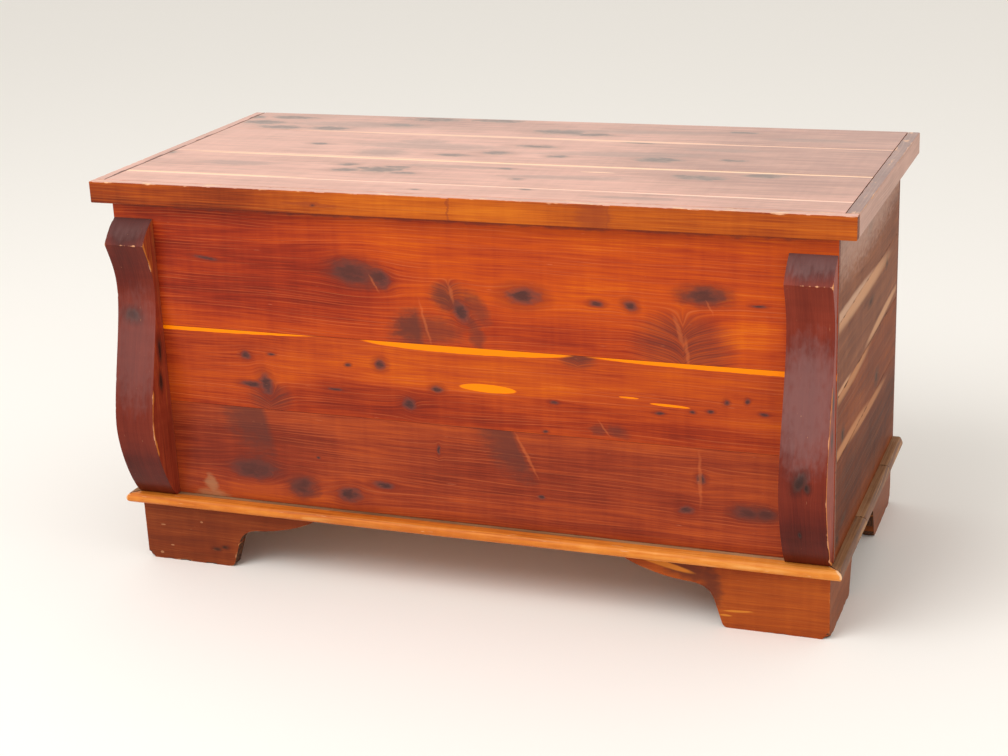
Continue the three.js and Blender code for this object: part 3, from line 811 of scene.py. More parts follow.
def slice_along(bm: Mesh, axis: str, low: float, high: float, cuts: Cuts) -> None:
    """Cuts a mesh across one axis, near both ends and in even steps between.

    Args:
        bm: The mesh.
        axis: The axis to cut across.
        low: Low end in metres.
        high: High end in metres.
        cuts: The cuts.
    """
    ends = [low + r * MM for r in cuts.rims] + [high - r * MM for r in cuts.rims]
    count = max(1, round((high - low) / (cuts.step * MM)))
    inner = [low + (high - low) * i / count for i in range(1, count)]
    margin = 1.4
    clear = max(cuts.rims) * MM * margin
    kept = [p for p in inner if low + clear < p < high - clear]
    normal = (RIGHT, REAR, UP)[AXES[axis]]
    for place in sorted({round(p, 6) for p in ends + kept if low < p < high}):
        slice_at(bm, normal * place, normal)


def sharp_edges(bm: Mesh) -> list[bmesh.types.BMEdge]:
    """Gives the edges whose faces meet at more than the sharp angle."""
    bm.normal_update()
    return [e for e in bm.edges if e.is_manifold and e.calc_face_angle(0.0) > SHARP_ANGLE]


@dataclass
class Arrises:
    """The sharp edges of a piece before they are eased, to measure wear from.

    Attributes:
        tree: Points along the edges.
    """

    tree: kdtree.KDTree

    @classmethod
    def of(cls, bm: Mesh, keep: Callable[[Vector], bool] = lambda point: True) -> "Arrises":
        """Samples a mesh's sharp edges.

        Args:
            bm: The mesh.
            keep: Says whether a point in metres counts.

        Returns:
            The arrises.
        """
        points = []
        spacing = 2.0 * MM
        for edge in sharp_edges(bm):
            start, end = (v.co for v in edge.verts)
            count = max(1, math.ceil(edge.calc_length() / spacing))
            points += [start.lerp(end, i / count) for i in range(count + 1)]
        far_off = Vector((9.0, 9.0, 9.0))
        points = [p for p in points if keep(p)] or [far_off]
        tree = kdtree.KDTree(len(points))
        for i, point in enumerate(points):
            tree.insert(point, i)
        tree.balance()
        return cls(tree)

    def distance(self, point: Vector) -> float:
        """Gives the distance from the nearest arris in millimetres."""
        return self.tree.find(point)[2] / MM

    def record(self, bm: Mesh) -> None:
        """Writes the wear layer that the finishes read.

        Args:
            bm: The mesh in its final shape.
        """
        layer = bm.verts.layers.float.get(WEAR_LAYER) or bm.verts.layers.float.new(WEAR_LAYER)
        for vert in bm.verts:
            vert[layer] = max(0.0, 1.0 - self.distance(vert.co) / WEAR_REACH)


def ease(bm: Mesh, radius: float, segments: int = 2) -> None:
    """Rounds the sharp edges by a radius in millimetres."""
    bmesh.ops.bevel(bm, geom=sharp_edges(bm), offset=radius * MM, offset_type="OFFSET",
                    segments=segments, profile=0.5, affect="EDGES", material=-1, clamp_overlap=True)


@dataclass(frozen=True)
class Chips:
    """Chips and dents along the arrises, where a smooth noise is high.

    Attributes:
        depth: Deepest dent in millimetres.
        size: Length of a dent in millimetres.
        threshold: Noise value above which a dent starts.
    """

    depth: float
    size: float
    threshold: float


def batter(bm: Mesh, arrises: Arrises, chips: Chips, seed: int) -> None:
    """Chips and dents a piece along its arrises.

    Args:
        bm: The mesh.
        arrises: The arrises to dent.
        chips: The chips.
        seed: Picks the noise.
    """
    reach, steepness, seed_step = 2.5, 2.2, 7.3
    drift = Vector((seed * seed_step, 0.0, 0.0))
    bm.normal_update()
    for vert in bm.verts:
        near = 1.0 - arrises.distance(vert.co) / reach
        if near <= 0.0:
            continue
        hit = noise.noise(vert.co / (chips.size * MM) + drift) - chips.threshold
        if hit > 0.0:
            vert.co -= vert.normal * (min(1.0, hit * steepness) * chips.depth * near * MM)


def paint(bm: Mesh, pick: Callable[[Face], int]) -> None:
    """Gives each face the number of its finish.

    Args:
        bm: The mesh.
        pick: Tells a face's number.
    """
    bm.normal_update()
    for face in bm.faces:
        face.material_index = pick(face)


def board_sides(inward: Vector, ends: Vector) -> Callable[[Face], int]:
    """Tells a board's faces apart: 0 outside, 1 inside, 2 across the grain.

    Args:
        inward: The way from the outer face to the inside.
        ends: The way of the grain.

    Returns:
        A function from a face to its number.
    """
    return lambda face: (2 if abs(face.normal.dot(ends)) > 0.8
                         else 1 if face.normal.dot(inward) > 0.5 else 0)


@dataclass
class Outline:
    """A flat outline of straight lines and curves, in millimetres.

    Attributes:
        points: The points so far.
        step: Length of a curve's segments.
    """

    points: list[Vector]
    step: float

    @classmethod
    def start(cls, x: float, y: float, step: float) -> "Outline":
        """Starts an outline at a point."""
        return cls([Vector((x, y))], step)

    def line(self, x: float, y: float) -> "Outline":
        """Adds a straight line."""
        self.points.append(Vector((x, y)))
        return self

    def curve(self, first: Point, second: Point, end: Point) -> "Outline":
        """Adds a curve with two handles.

        Args:
            first: The handle of its start.
            second: The handle of its end.
            end: Its last point.

        Returns:
            The same outline.
        """
        start, goal = self.points[-1], Vector(end)
        count = max(3, math.ceil((goal - start).length / self.step)) + 1
        run = interpolate_bezier(start, Vector(first), Vector(second), goal, count)
        self.points += [Vector(p[:2]) for p in run[1:]]
        return self

    def bend(self, handle: Point, end: Point) -> "Outline":
        """Adds a curve with one handle."""
        pull = Vector(handle)
        return self.curve(self.points[-1].lerp(pull, 2 / 3), Vector(end).lerp(pull, 2 / 3), end)

    def prism(self, place: Callable[[Vector, float], Point], low: float, high: float) -> Mesh:
        """Draws the outline out to a solid.

        Args:
            place: Turns an outline point and a depth to a point in space, all in millimetres.
            low: Depth where it starts.
            high: Depth where it ends.

        Returns:
            A closed mesh in metres.
        """
        bm = bmesh.new()
        face = bm.faces.new([bm.verts.new(Vector(place(p, low)) * MM) for p in self.points])
        made = bmesh.ops.extrude_face_region(bm, geom=[face])
        moved = [v for v in made["geom"] if isinstance(v, bmesh.types.BMVert)]
        shift = (Vector(place(self.points[0], high)) - Vector(place(self.points[0], low))) * MM
        bmesh.ops.translate(bm, vec=shift, verts=moved)
        bmesh.ops.recalc_face_normals(bm, faces=bm.faces)
        return bm


def mirror_x(bm: Mesh) -> Mesh:
    """Turns a right piece to a left one, with its faces outwards again.

    Args:
        bm: The right piece's mesh.

    Returns:
        The same mesh.
    """
    bmesh.ops.scale(bm, vec=(-1.0, 1.0, 1.0), verts=bm.verts)
    bmesh.ops.reverse_faces(bm, faces=bm.faces)
    return bm


def link(name: str, bm: Mesh, *finishes: Finish) -> bpy.types.Object:
    """Turns a mesh to an object in the scene.

    Args:
        name: The object's name.
        bm: The mesh.
        *finishes: Its finishes.

    Returns:
        The object.
    """
    mesh = bpy.data.meshes.new(name)
    bm.to_mesh(mesh)
    bm.free()
    for finish in finishes:
        mesh.materials.append(finish.material())
    made = bpy.data.objects.new(name, mesh)
    bpy.context.scene.collection.objects.link(made)
    return made


@dataclass
class Piece:
    """One visible piece, ready to join the scene.

    Attributes:
        node: The CAD node that it stands for, or a new piece's own name.
        body: The body it rides on.
        slot: The record's material slot; not used.
        finishes: Its finishes; a face picks one by number.
    """

    node: str
    body: str
    slot: str
    finishes: Sequence[Finish]

    def place(self, bm: Mesh) -> None:
        """Puts a mesh in the scene with its finishes and its body.

        Args:
            bm: The finished mesh in metres, freed afterwards.
        """
        stands_in = self.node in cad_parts
        piece = link(f"{self.node}_dressed" if stands_in else self.node, bm, *self.finishes)
        piece.data.polygons.foreach_set("use_smooth", [True] * len(piece.data.polygons))
        piece.data.set_sharp_from_angle(angle=SHARP_ANGLE)
        weighted = piece.modifiers.new("flat faces stay flat", "WEIGHTED_NORMAL")
        weighted.keep_sharp = True
        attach(piece, self.body)
        if stands_in:
            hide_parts(self.node)
        log.info("%s: %d faces, on %s", piece.name, len(piece.data.polygons), self.body)

    def place_copy(self, radius: float, segments: int = 2, cuts: Cuts | None = None,
                   keep: Callable[[Vector], bool] = lambda point: True,
                   pick: Callable[[Face], int] = lambda face: 0) -> None:
        """Eases a copy of the CAD node's mesh, records its wear and places it.

        Args:
            radius: Rounding of the arrises in millimetres.
            segments: Steps of the rounding.
            cuts: Cuts across its long ways, none if left out.
            keep: Says which points of the arrises count as worn.
            pick: Gives a face the number of its finish.
        """
        bm = cad_copy(self.node)
        arrises = Arrises.of(bm, keep)
        if cuts:
            thickness = 30.0 * MM
            for axis, low, high in zip(AXES, *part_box(self.node)):
                if high - low > thickness:
                    slice_along(bm, axis, low, high, cuts)
        ease(bm, radius, segments)
        arrises.record(bm)
        paint(bm, pick)
        self.place(bm)


# The marks of the front boards, in millimetres from the middle of the chest and from the floor
FRONT_FIGURE = {
    "upper": {
        "tones": ("#7C2414", "#962F16", "#B04016", "#C24E12", "#D4640F"),
        "knots": (
            Mark(-153, 479, 26, 15, -6), Mark(-112, 473, 15, 11, -20), Mark(10, 431, 10, 15, 20),
            Mark(102, 460, 22, 11), Mark(207, 456, 9, 4), Mark(254, 456, 8, 6, -20),
            Mark(357, 476, 23, 10), Mark(-388, 487, 18, 2.5, -6), Mark(430, 466, 8, 2),
        ),
        "stains": (
            Mark(34, 438, 26, 13, -60), Mark(-16, 450, 20, 12, -50), Mark(30, 402, 10, 24, 10),
            Mark(-148, 477, 44, 20, -6), Mark(357, 476, 34, 14), Mark(-38, 402, 46, 20),
            # Painted shadow: a thin dark band along the top of the upper board, just below the lid's
            # nosing
            Mark(0, 562, 620, 4),
        ),
        "crotches": (Mark(327, 400, 70, 52), Mark(-8, 452, 30, 24)),
        "wedges": (Mark(-51, 404, 32, 52, 97),),
        "spikes": (
            Mark(322, 424, 22, 2.8, 106), Mark(333, 396, 20, 2.4, 98), Mark(-4, 456, 12, 2.4, 100),
            Mark(-121, 464, 12, 1.4, 118), Mark(-46, 412, 30, 1.8, 104), Mark(364, 460, 9, 1.2, 120),
        ),
        "zones": (
            Tone(Mark(-320, 490, 230, 90), -0.3), Tone(Mark(190, 490, 300, 70), 0.1),
            Tone(Mark(420, 425, 46, 22), 0.4), Tone(Mark(150, 405, 180, 22), -0.15),
            Tone(Mark(-170, 525, 120, 40), 0.25),
        ),
    },
    "middle": {
        "tones": ("#7A2515", "#943116", "#AE4218", "#C05114", "#D26410"),
        "knots": (
            Mark(-335, 342, 7, 5), Mark(-293, 346, 5, 2), Mark(-305, 300, 9, 15, 15),
            Mark(-328, 298, 17, 4), Mark(-120, 344, 8, 7), Mark(-170, 340, 4, 2.5), Mark(-33, 314, 8, 5),
            Mark(-78, 288, 8, 10, 90), Mark(-193, 301, 11, 2), Mark(142, 309, 6, 2.5),
            Mark(127, 265, 4, 2), Mark(293, 306, 6, 2), Mark(339, 312, 4, 2), Mark(364, 314, 4.5, 2.5),
            Mark(386, 329, 4, 3.5), Mark(415, 333, 3, 3.5), Mark(438, 317, 5.5, 2.5),
        ),
        "stains": (Mark(206, 274, 11, 8), Mark(232, 273, 16, 8, -10), Mark(178, 378, 20, 7)),
        "crotches": (Mark(178, 374, 26, 14), Mark(-300, 280, 36, 24)),
        "spikes": (Mark(214, 276, 13, 1.2, 125),),
        "sap": (
            Mark(-480, 380, 256, 6.5), Mark(12, 380, 156, 10.5), Mark(465, 380, 268, 8.0),
            Mark(44, 321, 42, 6.0, -1), Mark(308, 318, 28, 1.8, -2), Mark(250, 325, 14, 1.2),
        ),
        "zones": (
            Tone(Mark(-30, 338, 270, 26), 0.2), Tone(Mark(-420, 330, 110, 20), -0.15),
            Tone(Mark(-130, 280, 220, 30), -0.35), Tone(Mark(320, 272, 200, 20), -0.2),
            Tone(Mark(-330, 362, 180, 18), -0.15),
        ),
    },
    "lower": {
        "tones": ("#762A1A", "#8E361E", "#A64520", "#B8521E", "#CA661C"),
        "knots": (
            Mark(-338, 162, 32, 13), Mark(-322, 162, 10, 9), Mark(-259, 141, 17, 12, 20),
            Mark(-182, 137, 17, 11), Mark(-126, 158, 14, 5), Mark(350, 215, 6, 7), Mark(329, 167, 10, 6),
            Mark(413, 172, 15, 8), Mark(440, 173, 12, 7), Mark(118, 164, 5, 3), Mark(-229, 191, 3, 2),
            Mark(-36, 221, 2, 6),
        ),
        "stains": (Mark(-335, 165, 42, 18), Mark(-258, 142, 24, 18), Mark(425, 172, 34, 13)),
        "wedges": (Mark(79, 264, 84, 54, 114), Mark(-311, 264, 80, 74, 102)),
        "spikes": (Mark(98, 226, 32, 2.0, 116), Mark(349, 216, 34, 2.4, 91)),
        "zones": (
            Tone(Mark(0, 190, 520, 100), -0.22), Tone(Mark(-350, 200, 140, 60), -0.25),
            Tone(Mark(-300, 130, 90, 16), 0.2),
        ),
        "blooms": (Mark(-414, 126, 8, 17), Mark(-412, 112, 24, 9)),
    },
}


# Sapwood stripes of the side and back boards, in millimetres behind the middle or along it
SIDE_STRIPES = {
    (Side.RIGHT, "bottom"): (Mark(20, 246, 140, 7, -2),),
    (Side.RIGHT, "lower"): (Mark(-120, 341, 130, 10), Mark(-140, 259, 150, 8, -2)),
    (Side.RIGHT, "upper"): (Mark(-60, 440, 220, 13, -1.5), Mark(135, 356, 130, 7, 2.5),
                            Mark(-190, 347, 60, 5)),
    (Side.RIGHT, "top"): (Mark(-130, 449, 190, 9, -2),),
    (Side.LEFT, "lower"): (Mark(30, 228, 330, 5),),
    (Side.LEFT, "top"): (Mark(-20, 484, 300, 7, 1),),
    (Side.BACK, "middle"): (Mark(60, 282, 480, 6),),
    (Side.BACK, "upper"): (Mark(-100, 437, 400, 5),),
}


@dataclass
class Walls:
    """The four walls of edge-glued boards.

    Attributes:
        ease_radius: Rounding of the boards' arrises in millimetres.
        cuts: Cuts across the boards.
        front_rows: Names of the front and back boards from the bottom up.
        side_rows: Names of the side boards from the bottom up.
        sheltered: Height in metres above which the lid keeps the arrises from wear.
    """

    ease_radius: float = 0.5
    cuts: Cuts = Cuts(60.0)
    front_rows: tuple[str, ...] = ("lower", "middle", "upper")
    side_rows: tuple[str, ...] = ("bottom", "lower", "upper", "top")
    sheltered: float = 0.57

    def front_finish(self, row: str) -> Cedar:
        """Gives the varnished face of a front board.

        Args:
            row: Which board.

        Returns:
            The finish, with the knots and streaks where they are.
        """
        return Cedar(
            f"varnished_red_cedar_front_{row}", Grain.LENGTH_UPRIGHT, **FRONT_FIGURE[row],
            bloom_tone="#B0805A", gloss=0.3, specular=0.1, line="#D4703E", contrast=0.6,
            line_share=0.42, waviness=7.0, scratches=0.008, worn="#D8845C", worn_width=0.0,
            core=("#3E2E2E", "#603E3A"), halo="#7A2A1C", stain_tone="#5E322A", stain_share=0.6,
            sap_tone="#FF8800", seed=11 + self.front_rows.index(row),
        )

    def side_finish(self, side: Side, row: str) -> Cedar:
        """Gives the faded, duller face of a side or back board.

        Args:
            side: Which wall.
            row: Which board.

        Returns:
            The finish.
        """
        is_back = side is Side.BACK
        index = (self.front_rows if is_back else self.side_rows).index(row)
        seed = {Side.LEFT: 21, Side.RIGHT: 31, Side.BACK: 41}[side] + index
        long = 460 if is_back else 210
        low, high = (c[2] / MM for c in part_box(f"{side}_board_{row}"))
        sap_tones = {"bottom": "#B87C50", "lower": "#BC8256", "upper": "#CC9870"}
        return Cedar(
            f"faded_cedar_{side}_{row}", Grain.LENGTH_UPRIGHT if is_back else Grain.DEPTH_UPRIGHT,
            LOW_SIDE_TONES if row in ("bottom", "lower") else SIDE_TONES,
            line="#98684A", halo="#4E2E20", core=("#3A2418", "#5A3A28"),
            knots=scattered(random.Random(seed), 6 if is_back else 2, (-long, long),
                            (low + 12, high - 12), (5, 18), (3, 9), (-12, 12)),
            sap=SIDE_STRIPES.get((side, row), ()), sap_tone=sap_tones.get(row, "#CCA284"),
            sap_edge=0.8, sap_share=0.75, ribbon=0.35,
            zones=(Tone(Mark(0, 180, 400, 60), -0.3),) if row == "bottom" else (),
            # Painted light: on the top boards a pale band under the lid lightens the shade of the lid's
            # overhang
            stains=(Mark(0, 560, 330, 62),) if row == "top" else (), stain_tone="#BE9C8C",
            stain_share=0.6, gloss=0.5, specular=0.06, worn_width=0.8, worn="#4A2A1A",
            contrast=0.6, seed=seed,
        )

    def board(self, name: str, slot: str, finish: Cedar, inward: Vector, ends: Vector) -> None:
        """Builds one wall board from its CAD shape, with eased arrises.

        Args:
            name: The CAD node.
            slot: The record's material slot.
            finish: The outer face's finish.
            inward: The way to the inside.
            ends: The way of the grain.
        """
        finishes = [finish, bare(finish.grain, finish.seed), END_GRAIN]
        Piece(name, "case", slot, finishes).place_copy(
            self.ease_radius, cuts=self.cuts, keep=lambda p: p.z < self.sheltered,
            pick=board_sides(inward, ends))

    def build(self) -> None:
        """Builds every wall board."""
        for row in self.front_rows:
            self.board(f"front_board_{row}", "varnished_cedar", self.front_finish(row), REAR, RIGHT)
            back = self.side_finish(Side.BACK, row)
            self.board(f"back_board_{row}", "side_cedar", back, -REAR, RIGHT)
        for side, inward in ((Side.LEFT, RIGHT), (Side.RIGHT, -RIGHT)):
            for row in self.side_rows:
                finish = self.side_finish(side, row)
                self.board(f"{side}_board_{row}", "side_cedar", finish, inward, REAR)


@dataclass
class Bottom:
    """The loose bottom boards inside the chest.

    Attributes:
        rows: The boards' names from the front.
        ease_radius: Rounding of the boards' arrises in millimetres.
        cuts: Cuts across the boards.
    """

    rows: tuple[str, ...] = ("front", "middle", "rear")
    ease_radius: float = 0.6
    cuts: Cuts = Cuts(80.0)

    def build(self) -> None:
        """Builds the three bottom boards."""
        for i, row in enumerate(self.rows):
            board = Piece(f"floor_board_{row}", "case", "bare_cedar", [bare(Grain.LENGTH_FLAT, 61 + i)])
            board.place_copy(self.ease_radius, cuts=self.cuts)


@dataclass
class BaseFrame:
    """The bullnosed moulding laid flat under the walls, and the plain board behind it.

    Attributes:
        corner: Radius of the moulding's rear corner in plan, in millimetres.
        facets: Steps of that rounding.
        ease_radius: Rounding of the moulding's arrises.
        cuts: Cuts across a length of moulding.
        chips: Chips of its upper arrises.
        chipped_rise: Height over its underside above which they are chipped.
        dust_reach: Width of the dusty strip in front of the wall in millimetres.
        back_ease: Rounding of the back board's arrises in millimetres.
    """

    corner: float = 9.0
    facets: int = 5
    ease_radius: float = 0.5
    cuts: Cuts = Cuts(7.0, (2.0, 5.0))
    chips: Chips = Chips(1.6, 6.0, 0.05)
    chipped_rise: float = 5.0
    dust_reach: float = 8.0
    back_ease: float = 0.6

    @staticmethod
    def finish(name: str, grain: Grain, seed: int) -> Cedar:
        """Gives the honey coloured front, or the greyed side lengths.

        Args:
            name: The CAD node.
            grain: How the grain runs, which tells front and sides apart.
            seed: Moves the grain.

        Returns:
            The finish.
        """
        aged = grain is Grain.DEPTH_FLAT
        look = {"tones": AGED_TONES, "worn": "#4A3020", "worn_width": 1.4, "scratches": 0.03}
        if not aged:
            # Painted highlight: the front length is made lighter towards its right end
            bright, dull = Tone(Mark(420, -250, 260, 60), 0.25), Tone(Mark(-60, -250, 220, 60), -0.12)
            look = {"tones": HONEY_TONES, "worn": "#E8B88C", "worn_width": 3.2, "scratches": 0.07,
                    "zones": (bright, dull)}
        return Cedar(
            f"{'aged' if aged else 'honey'}_moulding_{name}", grain, line="#E8A85C",
            halo="#8A4A1E", gloss=0.42, specular=0.2, relief=0.1, waviness=4.0, ring_width=11.0,
            contrast=0.7, seed=seed, **look,
        )

    def moulding(self, name: str, grain: Grain, seed: int) -> None:
        """Builds one length of moulding.

        Args:
            name: The CAD node.
            grain: How its grain runs.
            seed: Picks its grain and its dents.
        """
        low, high = box_of(name)
        along_x = grain is Grain.LENGTH_FLAT
        where = Side.FRONT if along_x else Side.LEFT if low.x < 0 else Side.RIGHT
        outward, place = {
            Side.FRONT: (-REAR, lambda p, d: (d, high.y - p.x, p.y)),
            Side.LEFT: (-RIGHT, lambda p, d: (high.x - p.x, d, p.y)),
            Side.RIGHT: (RIGHT, lambda p, d: (low.x + p.x, d, p.y)),
        }[where]
        section = self.section(high.y - low.y if along_x else high.x - low.x, low.z, high.z)
        start, end = (low.x, high.x) if along_x else (low.y, high.y)
        bm = section.prism(place, start, end)
        self.mitre(bm, low * MM, high * MM, along_x)
        slice_along(bm, "x" if along_x else "y", start * MM, end * MM, self.cuts)
        dust = Vector((0.0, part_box("front_board_lower")[0][1] - self.dust_reach * MM, 0.0))
        if along_x:
            slice_at(bm, dust, REAR)
        rim = Arrises.of(bm, lambda p: p.z > (low.z + self.chipped_rise) * MM)
        ease(bm, self.ease_radius, 1)
        self.dent(bm, seed, outward)
        batter(bm, rim, self.chips, seed)
        rim.record(bm)
        paint(bm, lambda face: int(face.normal.z > 0.93 and (
            not along_x or face.calc_center_median().y > dust.y)))
        finish = self.finish(name, grain, seed)
        dusty = replace(finish, name=f"{finish.name}_dusty_top", tones=DUSTY_TONES, line="#A08A70",
                        worn="#8A6E50", gloss=0.7, specular=0.15)
        Piece(name, "case", "honey_moulding", [finish, dusty]).place(bm)

    @staticmethod
    def section(width: float, low: float, high: float) -> Outline:
        """Draws the moulding's section from its inner edge out: flat faces and a half round.

        Args:
            width: Its width in millimetres.
            low: Height of its underside.
            high: Height of its top.

        Returns:
            The closed outline.
        """
        radius = (high - low) / 2
        circle_handle = 0.5523
        pull = radius * circle_handle
        centre, middle = width - radius, (low + high) / 2
        shape = Outline.start(0.0, low, step=1.4)
        shape.line(centre, low)
        shape.curve((centre + pull, low), (width, middle - pull), (width, middle))
        shape.curve((width, middle + pull), (centre + pull, high), (centre, high))
        return shape.line(0.0, high)

    def mitre(self, bm: Mesh, low: Vector, high: Vector, along_x: bool) -> None:
        """Cuts the mitres at the chest's front corners, and rounds the rear corners in plan.

        Args:
            bm: The length's mesh.
            low: Its lowest corner in metres.
            high: Its highest corner in metres.
            along_x: True for the front length.
        """
        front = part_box("base_moulding_front")[0]
        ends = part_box("base_moulding_front")[1][0]
        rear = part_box("base_frame_back")[1][1]
        gap = Vector((0.0, 0.3 * MM, 0.0))
        for side in (-1, 1):
            corner = Vector((side * ends, front[1], low.z))
            towards = Vector((side, 1.0, 0.0)).normalized()
            if along_x:
                slice_at(bm, corner, towards, True)
                continue
            if low.y < front[1] + 1.0 * MM and side * high.x > 0:
                slice_at(bm, corner + gap, -towards, True)
            if abs(high.y - rear) < 0.1 * MM and side * high.x > 0:
                radius = self.corner * MM
                centre = Vector((side * (ends - radius), rear - radius, low.z))
                for turn in range(1, self.facets):
                    angle = math.pi / 2 * turn / self.facets
                    outward = Vector((side * math.cos(angle), math.sin(angle), 0.0))
                    slice_at(bm, centre + outward * radius, outward, True)

    @staticmethod
    def dent(bm: Mesh, seed: int, outward: Vector) -> None:
        """Presses shallow knocks into the half round.

        Args:
            bm: The length's mesh.
            seed: Picks the knocks.
            outward: The way that the half round faces.
        """
        reach, size, depth, threshold, steepness = 9.0 * MM, 11.0 * MM, 0.7, 0.22, 2.5
        limit = max(vert.co.dot(outward) for vert in bm.verts)
        for vert in bm.verts:
            if limit - vert.co.dot(outward) > reach:
                continue
            hit = noise.noise(vert.co / size + Vector((seed, 0.0, 0.0))) - threshold
            if hit > 0.0:
                vert.co -= outward * (min(1.0, hit * steepness) * depth * MM)

    def build(self) -> None:
        """Builds every length of the frame."""
        self.moulding("base_moulding_front", Grain.LENGTH_FLAT, 3)
        for i, part in enumerate(("left", "right_front", "right_middle", "right_rear")):
            self.moulding(f"base_moulding_{part}", Grain.DEPTH_FLAT, 4 + i)
        back = Piece("base_frame_back", "case", "bare_cedar", [bare(Grain.LENGTH_FLAT, 71)])
        back.place_copy(self.back_ease)


# The front feet's own tones and marks, in millimetres from the middle of the chest
FOOT_LOOKS = {
    "right_front_foot_board": {
        "tones": FOOT_TONES, "sap_tone": "#CC7A2C",
        "stains": (Mark(364, 64, 34, 15, 100), Mark(334, 82, 40, 15, -14)),
        "sap": (Mark(404, 27, 20, 1.6, 4), Mark(386, 19, 9, 1.4), Mark(300, 86, 40, 4, -12)),
    },
    "left_front_foot_board": {
        "tones": DULL_FOOT_TONES, "sap_tone": "#A8704C",
        "knots": (Mark(-411, 26, 6, 2.5), Mark(-396, 30, 5, 2.5)),
        "sap": (Mark(-508, 10, 3, 2), Mark(-501, 57, 4, 1), Mark(-433, 68, 2.4, 1.4),
                Mark(-469, 1, 14, 1.6), Mark(-377, 17, 3, 4), Mark(-488, 24, 3, 1.2)),
    },
}


class FootBoard(StrEnum):
    """A foot board of one side of the chest, as it stands in the piece's name."""

    FRONT = "front"
    SIDE = "side"
    BACK = "back"


@dataclass
class Feet:
    """Bracket feet: boards with a sawn outline, mitred at the front, with glue blocks inside.

    Attributes:
        height: Height in millimetres.
        sole: Length of the sole.
        lean: How far the leg leans in.
        leg_rise: Height of the straight leg.
        cove_run: Length of the cove.
        cove_rise: Height of the cove.
        wing_run: Length of the wing.
        sole_radius: Rounding of the sole's inner corner.
        apron: Height of the strip between the two feet of a side.
        mitre_gap: Gap in the mitre at the front corner.
        worn_corner: Radius of the worn outer corners.
        worn_height: Height up to which the arrises are chipped.
        sawn_height: Height up to which a sloping face is a sawn one.
        cuts: Cuts along the length and the depth.
        level_cuts: Cuts over the height.
        chips: Chips of the arrises near the sole.
        ease_radius: Rounding of the boards' arrises.
        block_ease: Rounding of the glue blocks' arrises.
    """

    height: float = 95.5
    sole: float = 148.0
    lean: float = 12.0
    leg_rise: float = 38.0
    cove_run: float = 40.0
    cove_rise: float = 26.5
    wing_run: float = 100.0
    sole_radius: float = 7.0
    apron: float = 22.0
    mitre_gap: float = 0.3 * math.sqrt(2)
    worn_corner: float = 7.5
    worn_height: float = 22.0
    sawn_height: float = 75.0
    cuts: Cuts = Cuts(9.0, (2.0, 4.0, 7.0, 10.0))
    level_cuts: Cuts = Cuts(12.0, (2.0, 4.0, 7.0, 10.0))
    chips: Chips = Chips(1.8, 9.0, 0.05)
    ease_radius: float = 0.9
    block_ease: float = 1.2

    @staticmethod
    def finish(name: str, grain: Grain, seed: int) -> Cedar:
        """Gives the scuffed red-brown face of a foot.

        Args:
            name: The CAD node.
            grain: How the grain runs.
            seed: Moves the grain.

        Returns:
            The finish.
        """
        return Cedar(
            f"scuffed_cedar_{name}", grain, **FOOT_LOOKS.get(name, {"tones": BROWN_FOOT_TONES}),
            line="#B46A34", halo="#4E1E16", core=("#38201A", "#54301F"), stain_tone="#4A2622",
            stain_share=0.7, worn="#B87A4C", worn_width=0.5, sap_edge=0.5, gloss=0.42,
            specular=0.1, relief=0.08, contrast=0.4, line_share=0.2, scratches=0.03, seed=seed,
        )

    def single(self) -> Outline:
        """Draws a foot from its outer end inwards: sole, leg, cove, wing and top.

        Returns:
            The closed outline.
        """
        leg_top = self.sole + self.lean
        cove_end = leg_top + self.cove_run
        cove_top = self.leg_rise + self.cove_rise
        left = self.height - cove_top
        shape = Outline.start(0.0, 0.0, step=3.0)
        shape.line(self.sole - self.sole_radius, 0.0)
        shape.bend((self.sole, 0.0), (self.sole + self.sole_radius * 0.3, self.sole_radius))
        shape.line(leg_top, self.leg_rise)
        shape.curve(
            (leg_top + self.cove_run * 0.12, self.leg_rise + self.cove_rise * 0.65),
            (leg_top + self.cove_run * 0.4, cove_top - self.cove_rise * 0.04),
            (cove_end, cove_top),
        )
        shape.curve(
            (cove_end + self.wing_run * 0.35, cove_top + left * 0.09),
            (cove_end + self.wing_run * 0.75, cove_top + left * 0.45),
            (cove_end + self.wing_run, self.height),
        )
        return shape.line(0.0, self.height)

    def double(self, length: float) -> Outline:
        """Draws a board with a foot at each end and an apron between.

        Args:
            length: Length of the board in millimetres.

        Returns:
            The closed outline.
        """
        points = self.single().points[:-1]
        low = self.height - self.apron
        rise = next(i for i in range(len(points) - 1, 0, -1) if points[i].y < low)
        share = (low - points[rise].y) / (points[rise + 1].y - points[rise].y)
        half = [*points[:rise + 1], points[rise].lerp(points[rise + 1], share)]
        other = [Vector((length - p.x, p.y)) for p in reversed(half)]
        ends = [Vector((length, self.height)), Vector((0.0, self.height))]
        return Outline([*half, *other, *ends], step=3.0)

    def board(self, part: FootBoard) -> Mesh:
        """Builds one of the right side's boards.

        Args:
            part: Which board.

        Returns:
            The board, cut off at its corner.
        """
        low, high = box_of(f"right_{part}_foot_board")
        front, mitre = box_of("right_front_foot_board")[0].y, Vector((1.0, 1.0, 0.0)).normalized()
        if part is FootBoard.SIDE:
            bm = self.double(high.y - front).prism(lambda p, d: (d, front + p.x, p.y), low.x, high.x)
            corner, outward = Vector((high.x, front + self.mitre_gap, 0.0)), -mitre
        else:
            at_front = part is FootBoard.FRONT
            outer = high.x if at_front else box_of("right_side_foot_board")[1].x
            bm = self.single().prism(lambda p, d: (outer - p.x, d, p.y), low.y, high.y)
            corner, outward = Vector((high.x, low.y, 0.0)), mitre if at_front else RIGHT
        slice_at(bm, corner * MM, outward, True)
        return bm

